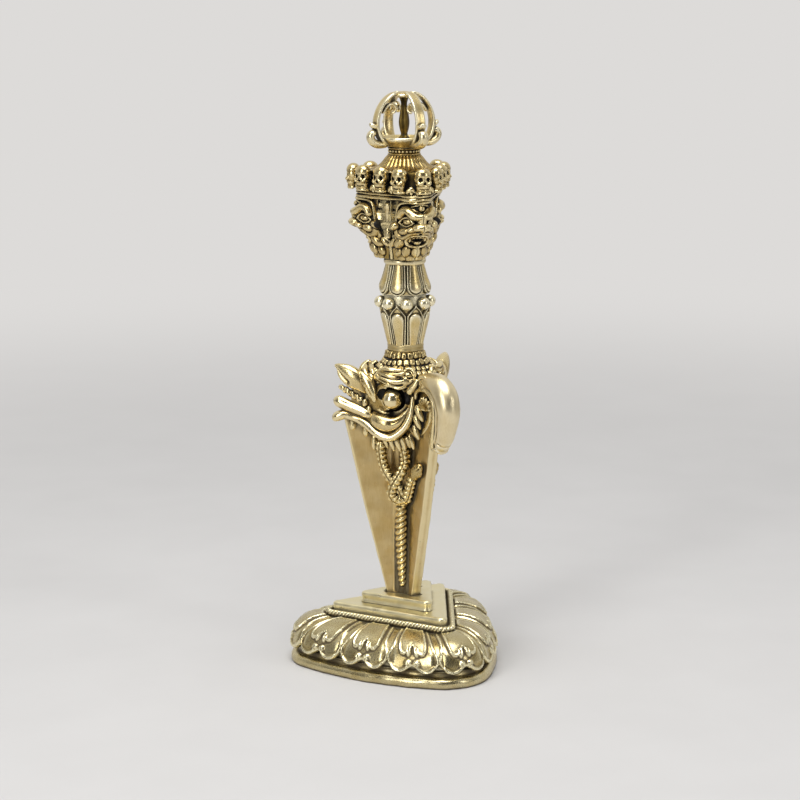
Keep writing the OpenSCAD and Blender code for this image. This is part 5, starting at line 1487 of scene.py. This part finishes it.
# Collar: a row of beads between two rims, from which the half vajra rises.
# Cast in one with the hair, its rims turned true and its beads punched round.
collar_low, collar_high = corners_of("vajra_collar")
collar_line = smooth_line([[2.8, collar_high.z], [3.2, collar_high.z - 0.02], [3.4, collar_high.z - 0.2],
                           [3.2, collar_high.z - 0.42], [3.0, collar_high.z - 0.55],
                           [3.0, collar_low.z + 0.55], [3.2, collar_low.z + 0.42],
                           [3.4, collar_low.z + 0.2], [3.2, collar_low.z + 0.02], [2.8, collar_low.z]], 5)
collar_parts = [taken(turned_form("collar_rims", collar_line, None, 160))]
collar_beads, collar_reach = 26, 3.08
middle = (collar_low.z + collar_high.z) / 2
for k in range(collar_beads):
    a = 2 * math.pi * k / collar_beads
    collar_parts.append(ball((collar_reach * math.cos(a), collar_reach * math.sin(a), middle),
                             (0.27, 0.27, 0.3), 8, 12))
collar = joined("beaded_collar", collar_parts)
finished(collar, "phurba", "antiqued_brass", serpent_finish, "vajra_collar", uneven=0.0, reach=0.3)


# Half vajra: a cage of four ribbed prongs that curl out at their feet and meet in a boss.
# Cast in one with a ring at its foot, chased, and rubbed bright on the prongs' rolled edges.
z0 = corners_of("vajra_prongs")[0].z


def ribbed(along, a, r):
    """Rolled edges on the outer face of a strap, with a hollow between them."""
    turn = np.degrees(a)
    out = np.minimum(abs(turn - 220), abs(turn - 320))
    return 0.22 * bell(out, 12) - 0.28 * bell(turn - 270, 30)


def strap(points, wide=1.0, thick=0.4, steps=8, skin=None):
    """Flat strap in the x-z plane, from [reach, height, half width] points."""
    return rounded_tube([[r, 0, z0 + h, w] for r, h, w in points], 32, steps, up=(0, 1, 0), wide=wide,
                        thick=thick, skin=skin)


prong = [
    strap([[2.4, 0.75, 0.9], [4.0, 0.8, 1.0], [5.3, 1.5, 1.1], [6.15, 2.9, 1.13], [6.5, 4.6, 1.15],
           [6.35, 6.2, 1.15], [5.7, 7.9, 1.13], [4.5, 9.5, 1.1], [3.0, 10.6, 1.0], [1.5, 11.0, 0.85]],
          thick=0.38, skin=ribbed),
    # Foot: a scroll that leaves the base, rises and rolls over
    strap([[3.6, 0.9, 0.9], [4.9, 0.7, 1.0], [6.4, 0.8, 1.05], [7.5, 1.45, 1.05], [7.9, 2.4, 1.0],
           [7.4, 3.05, 0.95], [6.75, 2.6, 0.85]], thick=0.8),
    # Spur on the prong's back
    strap([[6.2, 4.1, 0.9], [6.9, 4.3, 0.95], [7.6, 4.75, 0.85], [8.0, 5.2, 0.55]], thick=0.55),
    # Inner scroll near the top
    strap([[5.2, 6.9, 0.6], [4.2, 8.3, 0.65], [3.0, 8.7, 0.65], [2.1, 7.9, 0.6], [2.4, 7.1, 0.55],
           [3.0, 7.1, 0.45]], thick=0.55)]
cage_parts = []
for k in range(4):
    cage_parts += turned(prong, first_vane + k * math.pi / 2)
base_line = smooth_line([[0.6, z0 + 0.9], [2.6, z0 + 0.95], [3.8, z0 + 1.5], [4.65, z0 + 2.1],
                         [4.95, z0 + 1.75], [4.6, z0 + 1.1], [3.9, z0 + 0.5], [3.5, z0 + 0.15],
                         [3.3, z0 + 0.02], [2.6, z0]], 5)
boss_line = smooth_line([[0.05, z0 + 11.3], [0.5, z0 + 11.22], [1.2, z0 + 11.1], [1.9, z0 + 10.8],
                         [2.15, z0 + 10.5], [1.9, z0 + 10.15], [1.2, z0 + 9.95], [0.4, z0 + 9.9]], 5)
for line, columns in [(base_line, 120), (boss_line, 80)]:
    cage_parts.append(taken(turned_form("turned_part", line, None, columns)))
cage = fused("vajra_cage", cage_parts, 0.11, 1)
finished(cage, "phurba", "antiqued_brass", grip_finish_painted_highlight, "vajra_prongs", uneven=0.02, reach=0.4)


# Spindle: the four-sided core inside the cage, waisted near its foot and under the boss.
# The prongs shut it in, so it has kept its patina.
core_low, core_high = corners_of("vajra_core")
spots = smooth_line([[0, 0, 0, 1.2], [0, 0, 0.8, 1.0], [0, 0, 1.5, 0.65], [0, 0, 2.6, 0.9], [0, 0, 4.0, 1.05],
                     [0, 0, 6.0, 0.8], [0, 0, 7.6, 0.6], [0, 0, core_high.z - core_low.z, 1.0]], 5)
spindle = mesh_object("vajra_spindle", *sweep(
    spots[:, :3] + [0, 0, core_low.z], spots[:, 3], 32, up=(1, 0, 0),
    skin=lambda s, a, r: r * (0.14 * np.cos(4 * a))))
finished(spindle, "phurba", "antiqued_brass", cup_finish, "vajra_core", uneven=0.02, reach=0.5)


low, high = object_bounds()
